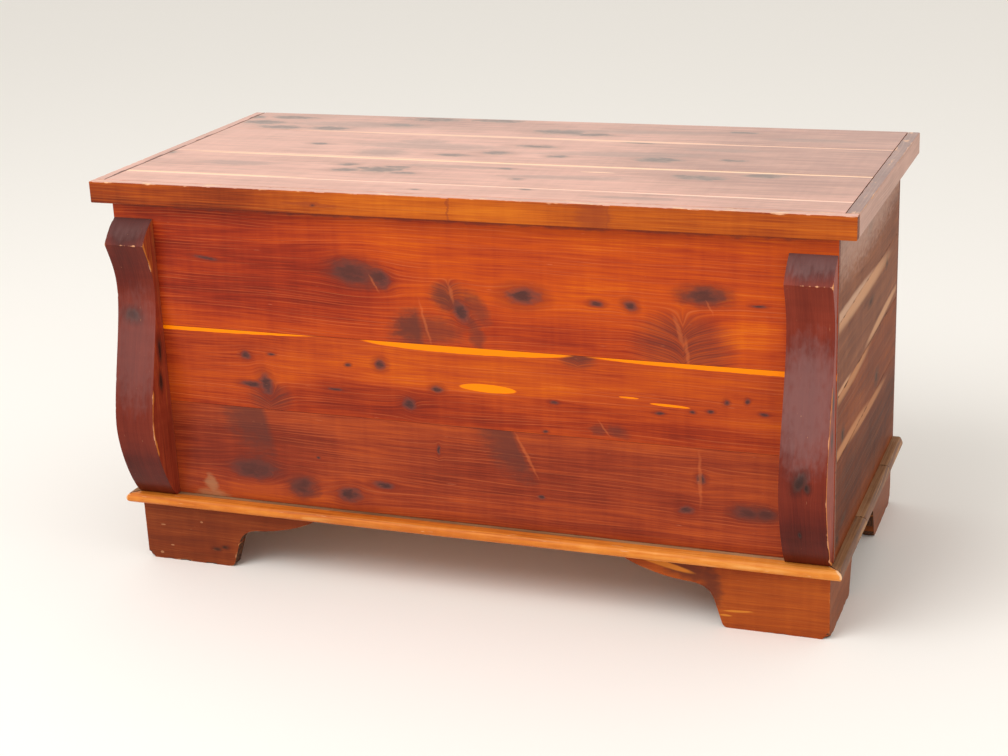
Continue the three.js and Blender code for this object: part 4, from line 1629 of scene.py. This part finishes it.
    def shaped(self, bm: Mesh, seed: int) -> Mesh:
        """Adds cuts, eased and battered arrises and the wear layer to a foot board.

        Args:
            bm: The board's mesh.
            seed: Picks the chips.

        Returns:
            The same mesh.
        """
        corners = [[v.co[i] for v in bm.verts] for i in range(3)]
        low, high = Vector(map(min, corners)), Vector(map(max, corners))
        arrises = Arrises.of(bm)
        soles = Arrises.of(bm, lambda p: p.z < self.worn_height * MM)
        thickness = 50.0 * MM
        for axis, cuts in (("x", self.cuts), ("y", self.cuts), ("z", self.level_cuts)):
            start, end = low[AXES[axis]], high[AXES[axis]]
            if end - start > thickness:
                slice_along(bm, axis, start, end, cuts)
        ease(bm, self.ease_radius)
        self.round_corner(bm)
        batter(bm, soles, self.chips, seed)
        arrises.record(bm)
        paint(bm, lambda face: int(abs(face.normal.z) > 0.3 or self.sawn(face)))
        return bm

    def round_corner(self, bm: Mesh) -> None:
        """Wears the outer lower corners of the feet to a ball.

        Args:
            bm: A foot board's mesh.
        """
        radius = self.worn_corner * MM
        side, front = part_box("right_side_foot_board")[1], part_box("right_front_foot_board")[0]
        for vert in bm.verts:
            centre = Vector((math.copysign(side[0] - radius, vert.co.x),
                             front[1] + radius if vert.co.y < 0.0 else side[1] - radius, radius))
            beyond = vert.co - centre
            outside = (beyond.x * vert.co.x > 0.0, beyond.y * vert.co.y > 0.0, beyond.z < 0.0)
            if all(outside) and beyond.length > radius:
                vert.co = centre + beyond.normalized() * radius

    def sawn(self, face: Face) -> bool:
        """Says whether a face belongs to the sawn outline and not to a broad face."""
        side = max(abs(face.normal.x), abs(face.normal.y))
        return side < 0.6 and face.calc_center_median().z < self.sawn_height * MM

    def build(self) -> None:
        """Builds the foot boards and glue blocks of both sides."""
        for s, side in enumerate((Side.RIGHT, Side.LEFT)):
            for i, part in enumerate(FootBoard):
                bm = self.board(part) if side is Side.RIGHT else mirror_x(self.board(part))
                seed = 81 + 10 * s + i
                name = f"{side}_{part}_foot_board"
                grain = Grain.DEPTH_UPRIGHT if part is FootBoard.SIDE else Grain.LENGTH_UPRIGHT
                finish = self.finish(name, grain, seed)
                # Sawn edges and soles get the end grain with painted shade
                edge = finish if part is FootBoard.BACK else SAWN_END_WITH_PAINTED_SHADE
                Piece(name, "case", "foot_cedar", [finish, edge]).place(self.shaped(bm, seed))
            for part in ("front", "rear"):
                block = Piece(f"{side}_{part}_glue_block", "case", "bare_cedar",
                              [bare(Grain.HEIGHT, 75)])
                block.place_copy(self.block_ease, segments=1)


@dataclass
class ScrollBrackets:
    """The S-shaped brackets sawn from thick stock on the chest's front corners.

    Attributes:
        nose_out: How far the nose stands out, in millimetres.
        nose_drop: Height from the top to the nose.
        waist_out: How far the waist stands out.
        waist_drop: Height from the top to the waist.
        belly_out: How far the belly stands out.
        belly_rise: Height of the belly over the moulding.
        toe_out: How far the toe stands out.
        glue_line: Gap behind the bracket.
        ease_radius: Rounding of the arrises.
        cuts: Cuts across the thickness.
        level_cuts: Cuts over the height, with the same step in depth.
        depth_cuts: How many cuts there are in depth.
        chips: Chips of the arrises.
        rubbed: Where each bracket's arrises are rubbed pale, by a point in metres: the right one's
            outer arris low down, the left one's inner arris in two stretches, and both noses.
    """

    nose_out: float = 34.0
    nose_drop: float = 33.0
    waist_out: float = 13.5
    waist_drop: float = 105.0
    belly_out: float = 57.0
    belly_rise: float = 120.5
    toe_out: float = 11.0
    glue_line: float = 0.3
    ease_radius: float = 0.9
    cuts: Cuts = Cuts(9.0, (2.0, 5.0))
    level_cuts: Cuts = Cuts(8.0, (2.5, 6.0))
    depth_cuts: int = 6
    chips: Chips = Chips(0.7, 6.0, 0.32)
    rubbed: dict[Side, Callable[[Vector], bool]] = field(default_factory=lambda: {
        Side.RIGHT: lambda p: p.y < -0.235 and (
            p.x > 0.53 and p.z < 0.37 or abs(p.z - 0.508) < 0.003),
        Side.LEFT: lambda p: p.y < -0.235 and (
            p.x > -0.472 and (0.465 < p.z < 0.51 or 0.19 < p.z < 0.29) or abs(p.z - 0.508) < 0.003),
    })

    def outline(self, back: float, top: float, bottom: float) -> Outline:
        """Draws the S in depth and height.

        Args:
            back: Depth of its flat back in millimetres.
            top: Height of its top.
            bottom: Height of its foot.

        Returns:
            The closed outline.
        """
        nose = (back - self.nose_out, top - self.nose_drop)
        waist = (back - self.waist_out, top - self.waist_drop)
        belly = (back - self.belly_out + self.glue_line, bottom + self.belly_rise)
        toe = (back - self.toe_out, bottom)
        neck, swell = nose[1] - waist[1], waist[1] - belly[1]
        shape = Outline.start(back, bottom, step=3.5)
        shape.line(back, top)
        shape.bend((back - self.nose_out * 0.62, top - self.nose_drop * 0.38), nose)
        shape.curve((nose[0] + (waist[0] - nose[0]) * 0.65, nose[1] - neck * 0.42),
                    (waist[0], waist[1] + neck * 0.36), waist)
        shape.curve((waist[0], waist[1] - swell * 0.25), (belly[0], belly[1] + swell * 0.25), belly)
        shape.curve((belly[0], belly[1] - self.belly_rise * 0.31),
                    (toe[0] + (belly[0] - toe[0]) * 0.5, bottom + self.belly_rise * 0.2), toe)
        return shape

    @staticmethod
    def finishes(side: Side) -> list[Cedar]:
        """Gives a bracket's dark stained face with mauve-grey patches of painted sheen, and its flat
        sides worn orange at the front.

        Args:
            side: Left or right.

        Returns:
            The two finishes.
        """
        is_right = side is Side.RIGHT
        x = 500.0 if is_right else -500.0
        own = {
            Side.RIGHT: {
                "knots": (Mark(248, x - 3, 12, 7, 20), Mark(240, x + 7, 6, 4), Mark(166, x - 4, 4, 2)),
                "stain_share": 0.55, "seed": 52,
            },
            Side.LEFT: {"knots": (Mark(398, x - 8, 8, 10, 10),), "stain_share": 0.28, "seed": 57},
        }
        chest = Tone(Mark(480, x, 50, 60), 0.2 if is_right else -0.25)
        face = Cedar(
            f"stained_cedar_{side}_bracket", Grain.HEIGHT, DARK_TONES, line="#8A4028",
            halo="#2A1412", core=("#241A18", "#45312C"), worn="#D89A70", worn_width=1.4,
            # Painted sheen: mauve-grey patches at mid-height and at the nose stand in for reflections in
            # the varnish
            stain_tone="#886664", stains=(Mark(346, x, 76, 44), Mark(545, x, 24, 60)),
            zones=(Tone(Mark(140, x, 60, 60), -0.35), Tone(Mark(555, x, 40, 60), -0.6), chest),
            gloss=0.36, specular=0.12, varnish=0.05, contrast=0.25, line_share=0.12,
            ring_contrast=-0.05, waviness=5.0, scratches=0.01, **own[side],
        )
        flat = Cedar(
            f"stained_cedar_{side}_bracket_side", Grain.HEIGHT_DEEP, (*DARK_TONES[1:], "#B05A2A"),
            line="#8A4020", halo="#2A1412", core=("#241A18", "#45312C"), worn="#D08038",
            worn_width=4.0, knots=(Mark(346, -244, 14, 4), Mark(298, -250, 12, 4)),
            zones=() if is_right else (Tone(Mark(330, -260, 400, 200), 0.2),),
            gloss=0.4, specular=0.1, contrast=0.7, line_share=0.2, waviness=5.0, scratches=0.02,
            seed=face.seed + 12,
        )
        return [face, flat]

    def build(self) -> None:
        """Builds both brackets."""
        low, high = box_of("right_scroll_bracket")
        for side, seed in ((Side.RIGHT, 3), (Side.LEFT, 8)):
            bm = self.outline(high.y, high.z, low.z).prism(lambda p, d: (d, p.x, p.y), low.x, high.x)
            ends = low.x * MM, high.x * MM
            if side is Side.LEFT:
                mirror_x(bm)
                ends = -high.x * MM, -low.x * MM
            arrises = Arrises.of(bm)
            rubbed = Arrises.of(bm, self.rubbed[side])
            slice_along(bm, "x", *ends, self.cuts)
            for k in range(1, self.depth_cuts + 1):
                slice_at(bm, REAR * (low.y * MM + k * self.level_cuts.step * MM), REAR)
            slice_along(bm, "z", low.z * MM, high.z * MM, self.level_cuts)
            ease(bm, self.ease_radius)
            batter(bm, arrises, self.chips, seed)
            rubbed.record(bm)
            paint(bm, lambda face: int(abs(face.normal.x) > 0.75))
            Piece(f"{side}_scroll_bracket", "case", "dark_cedar", self.finishes(side)).place(bm)


# The marks of the lid's boards, in millimetres from the middle of the chest
LID_FIGURE = {
    "front": {
        "sap_tone": "#FFCCB0",
        "knots": (Mark(95, -178, 8, 4), Mark(-60, -205, 7, 3)),
        "stains": (Mark(250, -200, 60, 8),),
        "sap": (Mark(-60, -168.5, 560, 4.4), Mark(390, -168.5, 260, 6.0)),
    },
    "second": {
        "sap_tone": "#FFCCA0",
        "knots": (
            Mark(-222, -72, 16, 7), Mark(-212, -106, 22, 9, 10), Mark(-190, -90, 10, 6),
            Mark(-156, -95, 30, 17, 10), Mark(-142, -76, 20, 7), Mark(-118, -112, 18, 7),
            Mark(311, -69, 34, 14), Mark(396, -42, 30, 12), Mark(280, -62, 12, 6),
            Mark(-542, -38, 12, 8), Mark(20, -60, 12, 5), Mark(60, -120, 8, 5),
        ),
        "stains": (Mark(-60, -60, 70, 10), Mark(120, -100, 90, 12, 4),
                   Mark(-400, -90, 60, 14)),
        "sap": (Mark(60, -24, 560, 7.5), Mark(-420, -165, 180, 3.2), Mark(160, -60, 26, 2)),
    },
    "third": {
        "knots": (
            Mark(225, 33, 34, 16), Mark(-30, 40, 22, 10), Mark(-90, 15, 26, 8), Mark(15, 92, 30, 9),
            Mark(68, 30, 14, 8), Mark(163, 143, 24, 6), Mark(330, 45, 20, 8), Mark(-330, 60, 16, 6),
        ),
        "stains": (Mark(-150, 70, 110, 22), Mark(160, 60, 120, 16, 5),
                   Mark(300, 110, 60, 10), Mark(-205, 15, 40, 26), Mark(-170, 97, 36, 20)),
        "sap": (Mark(150, 151, 460, 6.0), Mark(-300, -18, 260, 3.0)),
    },
    "rear": {
        "knots": (
            Mark(-503, 206, 36, 15), Mark(-452, 172, 40, 13), Mark(-369, 176, 36, 14),
            Mark(-541, 244, 20, 14), Mark(-263, 217, 34, 9), Mark(-220, 268, 46, 14),
            Mark(-114, 272, 40, 12), Mark(15, 203, 40, 16), Mark(68, 190, 36, 10),
            Mark(-470, 250, 40, 12), Mark(300, 240, 24, 9),
        ),
        "stains": (Mark(-330, 210, 120, 20), Mark(140, 220, 120, 14, 3),
                   Mark(420, 200, 70, 12)),
        "sap": (Mark(-60, 154, 360, 3.0),),
    },
}


@dataclass
class Lid:
    """Four boards with a nosing along the front and a cleat at each end.

    Attributes:
        rows: The boards' names from the front.
        board_ease: Rounding of the boards' arrises in millimetres.
        board_cuts: Cuts across the boards.
        band_ease: Rounding of the nosing's and cleats' arrises.
        band_cuts, level_cuts: Cuts across the nosing and cleats, and over their height.
        nosing_chips, cleat_chips: Chips along their tops.
    """

    rows: tuple[str, ...] = ("front", "second", "third", "rear")
    board_ease: float = 0.6
    board_cuts: Cuts = Cuts(60.0)
    band_ease: float = 1.6
    band_cuts: Cuts = Cuts(5.0, (2.5, 6.0))
    level_cuts: Cuts = Cuts(12.0, (3.0, 7.0))
    nosing_chips: Chips = Chips(1.3, 7.0, 0.1)
    cleat_chips: Chips = Chips(0.9, 7.0, 0.1)

    def board_finish(self, row: str) -> Cedar:
        """Gives a lid board's varnished top.

        Args:
            row: Which board.

        Returns:
            The finish, with its knots, smudges and the sapwood at the seams.
        """
        return Cedar(
            f"varnished_cedar_lid_{row}", Grain.LENGTH_FLAT, LID_TONES_WITH_PAINTED_LIGHT, line="#F0BC98",
            halo="#A8705A", core=("#5C4434", "#8C6C5A"), stain_tone="#86685A", knot_edge=0.6,
            knot_ragged=3.2, gloss=0.3, specular=0.5, varnish=0.25, contrast=0.8, worn_width=0.0,
            zones=(Tone(Mark(480, 60, 330, 260), -0.4), Tone(Mark(0, 300, 700, 90), -0.25)),
            seed=101 + self.rows.index(row), **{"sap_tone": "#F4BE9C", **LID_FIGURE[row]},
        )

    def boards(self) -> None:
        """Builds the four boards."""
        for i, row in enumerate(self.rows):
            finishes = [self.board_finish(row), bare(Grain.LENGTH_FLAT, 65 + i), END_GRAIN]
            Piece(f"lid_board_{row}", "lid", "lid_cedar", finishes).place_copy(
                self.board_ease, cuts=self.board_cuts, pick=board_sides(-UP, RIGHT))

    def nosing(self) -> None:
        """Builds the nosing, its top front arris chipped along its whole length."""
        face = Cedar(
            "varnished_cedar_lid_nosing", Grain.LENGTH_UPRIGHT,
            ("#6E2408", "#90380C", "#AA4C0E", "#BE5C10", "#CE6E14"), line="#D08038",
            worn="#EAB48A", gloss=0.32, specular=0.15, contrast=0.55, line_share=0.25,
            knots=(Mark(-198, 577, 3, 1.5),), stain_tone="#84331E",
            stains=(Mark(212, 582, 22, 30), Mark(231, 582, 2, 30), Mark(4, 582, 2, 30),
                    Mark(-205, 578, 40, 3)),
            zones=(Tone(Mark(-10, 580, 150, 60), 0.3), Tone(Mark(-430, 580, 190, 60), -0.35)),
            waviness=5.0, seed=111,
        )
        top = Cedar(
            "varnished_cedar_lid_nosing_top", Grain.LENGTH_FLAT, LID_TONES_WITH_PAINTED_LIGHT, line="#F0BC98",
            worn="#F0C8A0", worn_width=1.6, gloss=0.3, specular=0.5, varnish=0.25, seed=112,
        )
        self.band("lid_front_nosing", "x", [face, top, END_GRAIN], 5, self.nosing_chips)

    def cleat(self, side: Side) -> None:
        """Builds an end cleat; the left one has a dark band of painted shadow along the gap beside the
        boards.

        Args:
            side: Left or right.
        """
        seed, top_look = {
            # Left cleat: its dark arris colour is painted shadow of the gap beside the boards
            Side.LEFT: (121, {"tones": LID_TONES_WITH_PAINTED_LIGHT, "worn": "#6A4030", "worn_width": 4.2}),
            Side.RIGHT: (124, {"tones": ("#5C3832", "#784E42", "#8E6254", "#A47464", "#B88A78"),
                               "worn": "#E0B090", "worn_width": 1.4}),
        }[side]
        top = Cedar(f"varnished_cedar_{side}_cleat", Grain.DEPTH_FLAT, line="#C09A80", gloss=0.3,
                    specular=0.5, varnish=0.2, seed=seed, **top_look)
        face = Cedar(
            f"varnished_cedar_{side}_cleat_edge", Grain.DEPTH_UPRIGHT,
            ("#805A4C", "#9A6E5E", "#B08270", "#C29482", "#D4A896"), line="#C8A08C",
            worn="#C89878", gloss=0.4, contrast=0.6, seed=seed + 1,
        )
        self.band(f"lid_{side}_end_cleat", "y", [face, top, END_GRAIN], seed, self.cleat_chips)

    def band(self, name: str, axis: str, finishes: Sequence[Finish], seed: int,
             chips: Chips) -> None:
        """Builds a band piece: a bar that is cut, eased, and chipped along its top.

        Args:
            name: The CAD node.
            axis: The axis it runs along.
            finishes: Those of its face, its top and its ends.
            seed: Picks where it is chipped.
            chips: The chips along its top.
        """
        low, high = (Vector(c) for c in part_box(name))
        bm = bmesh.new()
        bmesh.ops.create_cube(bm, size=1.0)
        bmesh.ops.scale(bm, vec=high - low, verts=bm.verts)
        bmesh.ops.translate(bm, vec=(high + low) / 2, verts=bm.verts)
        rim = high.z - 3.0 * MM
        # The left cleat keeps only its inner top arris, where its dark band is painted shadow of the gap
        is_left_cleat = axis == "y" and high.x < 0.0
        inner = high.x - 1.0 * MM if is_left_cleat else -math.inf
        arrises = Arrises.of(bm, lambda p: p.z > rim)
        worn = Arrises.of(bm, lambda p: p.z > rim and p.x > inner)
        i = AXES[axis]
        slice_along(bm, axis, low[i], high[i], self.band_cuts)
        slice_along(bm, "z", low.z, high.z, self.level_cuts)
        ease(bm, self.band_ease, 3)
        batter(bm, arrises, chips, seed)
        worn.record(bm)
        paint(bm, lambda f: 1 if f.normal.z > 0.8 else 2 if abs(f.normal[i]) > 0.8 else 0)
        Piece(name, "lid", "band_cedar", finishes).place(bm)

    def build(self) -> None:
        """Builds the whole lid."""
        self.boards()
        self.nosing()
        self.cleat(Side.LEFT)
        self.cleat(Side.RIGHT)


@dataclass
class Screws:
    """Slotted countersunk screws.

    Attributes:
        radius: Radius of the head in millimetres.
        slot_width: Width of the slot.
        slot_depth: Depth of the slot.
        dome: Height of the head's crown.
        depth: Height of the head's cone.
        taper: Share of the radius at the cone's foot.
        sides: Steps round the head.
    """

    radius: float = 3.3
    slot_width: float = 0.9
    slot_depth: float = 0.7
    dome: float = 0.25
    depth: float = 1.6
    taper: float = 0.6
    sides: int = 28

    def head(self, bm: Mesh, centre: Vector, normal: Vector, turn: float) -> None:
        """Adds one screw head to a mesh.

        Args:
            bm: The mesh.
            centre: Middle of the head's face in metres.
            normal: The way the head faces.
            turn: Turn of the slot in radians.
        """
        part = bmesh.new()
        bmesh.ops.create_cone(part, cap_ends=True, segments=self.sides, depth=self.depth * MM,
                              radius1=self.taper * self.radius * MM, radius2=self.radius * MM)
        bmesh.ops.translate(part, vec=UP * (-self.depth / 2 * MM), verts=part.verts)
        half = self.slot_width / 2 * MM
        for side in (-1, 1):
            slice_at(part, REAR * (side * half), REAR)
        slot = [f for f in part.faces
                if f.normal.z > 0.9 and abs(f.calc_center_median().y) < half * 0.5]
        made = bmesh.ops.extrude_face_region(part, geom=slot)
        moved = [v for v in made["geom"] if isinstance(v, bmesh.types.BMVert)]
        bmesh.ops.translate(part, vec=UP * (-self.slot_depth * MM), verts=moved)
        bmesh.ops.delete(part, geom=slot, context="FACES_ONLY")
        for vert in part.verts:
            if vert.co.z > -0.01 * MM:
                vert.co.z += self.dome * MM * (1.0 - vert.co.xy.length / (self.radius * MM))
        facing = UP.rotation_difference(normal).to_matrix().to_4x4()
        matrix = Matrix.Translation(centre) @ facing @ Matrix.Rotation(turn, 4, "Z")
        bmesh.ops.transform(part, matrix=matrix, verts=part.verts)
        bmesh.ops.recalc_face_normals(part, faces=part.faces)
        scratch = bpy.data.meshes.new("screw")
        part.to_mesh(scratch)
        part.free()
        bm.from_mesh(scratch)
        bpy.data.meshes.remove(scratch)

    def place(self, name: str, body: str, centres: Sequence[Vector], normal: Vector) -> None:
        """Adds a row of screws as one piece.

        Args:
            name: The piece's name, which also picks how the slots are turned.
            body: The body that they ride on.
            centres: Middles of the heads' faces in metres.
            normal: The way the heads face.
        """
        bm = bmesh.new()
        chooser = random.Random(name)
        for centre in centres:
            self.head(bm, centre, normal, chooser.uniform(0.0, math.pi))
        Piece(name, body, "plated_steel", [STEEL]).place(bm)


@dataclass
class Hinges:
    """Two butt hinges: knuckles behind the back wall, leaves in a mortise of its top edge.

    Attributes:
        holes: Screws in each leaf.
        leaf: Thickness of a leaf in millimetres.
        knuckle: Diameter of the knuckles.
        sunk: How far a screw head lies in its leaf.
        leaf_ease: Rounding of a leaf's edges.
        pin_ease: Rounding of the pin's ends.
    """

    holes: int = 3
    leaf: float = 1.6
    knuckle: float = 7.4
    sunk: float = 0.1
    leaf_ease: float = 0.25
    pin_ease: float = 0.5

    def build(self) -> None:
        """Builds the leaves, pins and screws."""
        for side in (Side.LEFT, Side.RIGHT):
            for part, body in (("case_leaf", "case"), ("lid_leaf", "lid"), ("pin", "case")):
                piece = Piece(f"{side}_hinge_{part}", body, "plated_steel", [STEEL])
                piece.place_copy(self.pin_ease if part == "pin" else self.leaf_ease)
            self.leaf_screws(side)

    def leaf_screws(self, side: Side) -> None:
        """Puts the screws in both leaves of a hinge.

        Args:
            side: Left or right.
        """
        low, high = (Vector(c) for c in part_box(f"{side}_hinge_case_leaf"))
        top = Vector(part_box(f"{side}_hinge_lid_leaf")[1]).z
        pitch = (high.x - low.x) / self.holes
        middle = (low.y + high.y - self.knuckle * MM) / 2
        leaf, sunk = self.leaf * MM, self.sunk * MM
        for body, z, normal in (("case", low.z + leaf - sunk, UP), ("lid", top - leaf + sunk, -UP)):
            centres = [Vector((low.x + pitch * (i + 0.5), middle, z)) for i in range(self.holes)]
            Screws().place(f"{side}_hinge_{body}_screws", body, centres, normal)


@dataclass
class Stay:
    """The slotted arm that holds the lid, with its plates, rivet and screws.

    Attributes:
        parts: The body of each part.
        inset: Distance of a screw from its plate's end in millimetres.
        wall_plate: Thickness of the plate on the wall.
        lid_plate: Thickness of the plate under the lid.
        lid_row: Distance of the lid plate's screws from its left edge.
        ease_radius: Rounding of the edges.
    """

    parts: dict[str, str] = field(default_factory=lambda: {
        "stay_stud_plate": "case", "stay_lid_plate": "lid", "stay_rivet": "lid",
        "stay_slotted_arm": "stay_arm",
    })
    inset: float = 6.8
    wall_plate: float = 2.6
    lid_plate: float = 2.5
    lid_row: float = 11.0
    ease_radius: float = 0.3

    def build(self) -> None:
        """Builds the four parts, and the screws in the two plates."""
        for name, body in self.parts.items():
            Piece(name, body, "plated_steel", [STEEL]).place_copy(self.ease_radius)
        inset = self.inset * MM
        round_head = Screws(radius=2.9, dome=0.5)
        low, high = (Vector(c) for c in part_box("stay_stud_plate"))
        x, y = low.x + self.wall_plate * MM, (low.y + high.y) / 2
        wall = [Vector((x, y, z)) for z in (low.z + inset, high.z - inset)]
        round_head.place("stay_wall_screws", "case", wall, RIGHT)
        low, high = (Vector(c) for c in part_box("stay_lid_plate"))
        x, z = low.x + self.lid_row * MM, high.z - self.lid_plate * MM
        lid = [Vector((x, y, z)) for y in (low.y + inset, high.y - inset)]
        round_head.place("stay_lid_screws", "lid", lid, -UP)


@dataclass
class Studio:
    """The pale floor, the plain light and the camera at the photograph's angle.

    Attributes:
        position: The camera's place in metres.
        yaw: Turn to the left in radians.
        pitch: Look down in radians.
        roll: Tilt in radians.
        lens: Focal length in millimetres on a 36 millimetre sensor.
        level: Strength of the even light on the object.
        seen: Strength of the background, to the camera and in reflections.
        lamps: Each lamp's place in metres, size in metres and watts.
    """

    position: tuple[float, float, float] = (0.94773, -2.51111, 1.17549)
    yaw: float = 0.36723857
    pitch: float = 0.32941919
    roll: float = 0.04315015
    lens: float = 66.24
    level: float = 0.8
    seen: float = 0.95
    lamps: dict[str, tuple[Point, float, float]] = field(default_factory=lambda: {
        "key_lamp": ((-1.4, -2.7, 3.8), 2.8, 110.0), "fill_lamp": ((3.4, -0.4, 0.9), 2.2, 18.0),
    })

    def camera(self) -> None:
        """Makes the camera."""
        data = bpy.data.cameras.new("camera")
        data.lens, data.sensor_width, data.clip_end = self.lens, 36.0, 200.0
        cam = bpy.data.objects.new("camera", data)
        ahead = Vector((-math.sin(self.yaw) * math.cos(self.pitch),
                        math.cos(self.yaw) * math.cos(self.pitch), -math.sin(self.pitch)))
        right = Vector((math.cos(self.yaw), math.sin(self.yaw), 0.0))
        down = ahead.cross(right)
        across = math.cos(self.roll) * right + math.sin(self.roll) * down
        below = -math.sin(self.roll) * right + math.cos(self.roll) * down
        turn = Matrix((across, -below, -ahead)).transposed().to_4x4()
        cam.matrix_world = Matrix.Translation(self.position) @ turn
        bpy.context.scene.collection.objects.link(cam)
        bpy.context.scene.camera = cam

    def world(self) -> None:
        """Lights the scene evenly, with a pale wall to the camera and in reflections."""
        world = bpy.data.worlds.new("studio")
        bpy.context.scene.world = world
        world.use_nodes = True
        draw = Drawing(world.node_tree)
        draw.tree.nodes.clear()
        path = draw.add("LightPath").node.outputs
        shown = path["Is Camera Ray"]
        for ray in ("Is Glossy Ray", "Is Transmission Ray"):
            shown = draw.add("Math", {0: shown, 1: path[ray]}, operation="MAXIMUM")
        strength = draw.add("MapRange", {0: shown, 3: self.level, 4: self.seen})
        light = draw.add("Background", {"Color": linear("#FFFCF7"), "Strength": strength})
        draw.add("OutputWorld", {"Surface": light})

    def build(self) -> None:
        """Builds the stage: camera, floor, world and soft lamps that face the chest."""
        bpy.context.scene.view_settings.view_transform = "Standard"
        self.camera()
        bm = bmesh.new()
        bmesh.ops.create_grid(bm, x_segments=1, y_segments=1, size=30.0)
        link("studio_floor", bm, MattPaint())
        self.world()
        for name, (place, size, watts) in self.lamps.items():
            data = bpy.data.lights.new(name, "AREA")
            data.size, data.energy = size, watts
            lamp = bpy.data.objects.new(name, data)
            aim = (Vector((0.0, 0.0, 0.3)) - Vector(place)).to_track_quat("-Z", "Y")
            lamp.matrix_world = Matrix.Translation(place) @ aim.to_matrix().to_4x4()
            bpy.context.scene.collection.objects.link(lamp)


def main() -> None:
    """Builds the stage and every sub-assembly of the chest."""
    logging.basicConfig(level=logging.INFO, format="%(message)s")
    Studio().build()
    for assembly in (Walls(), Bottom(), BaseFrame(), Feet(), ScrollBrackets(), Lid(), Hinges(), Stay()):
        assembly.build()
        log.info("%s built", type(assembly).__name__)


if __name__ == "__main__":
    main()
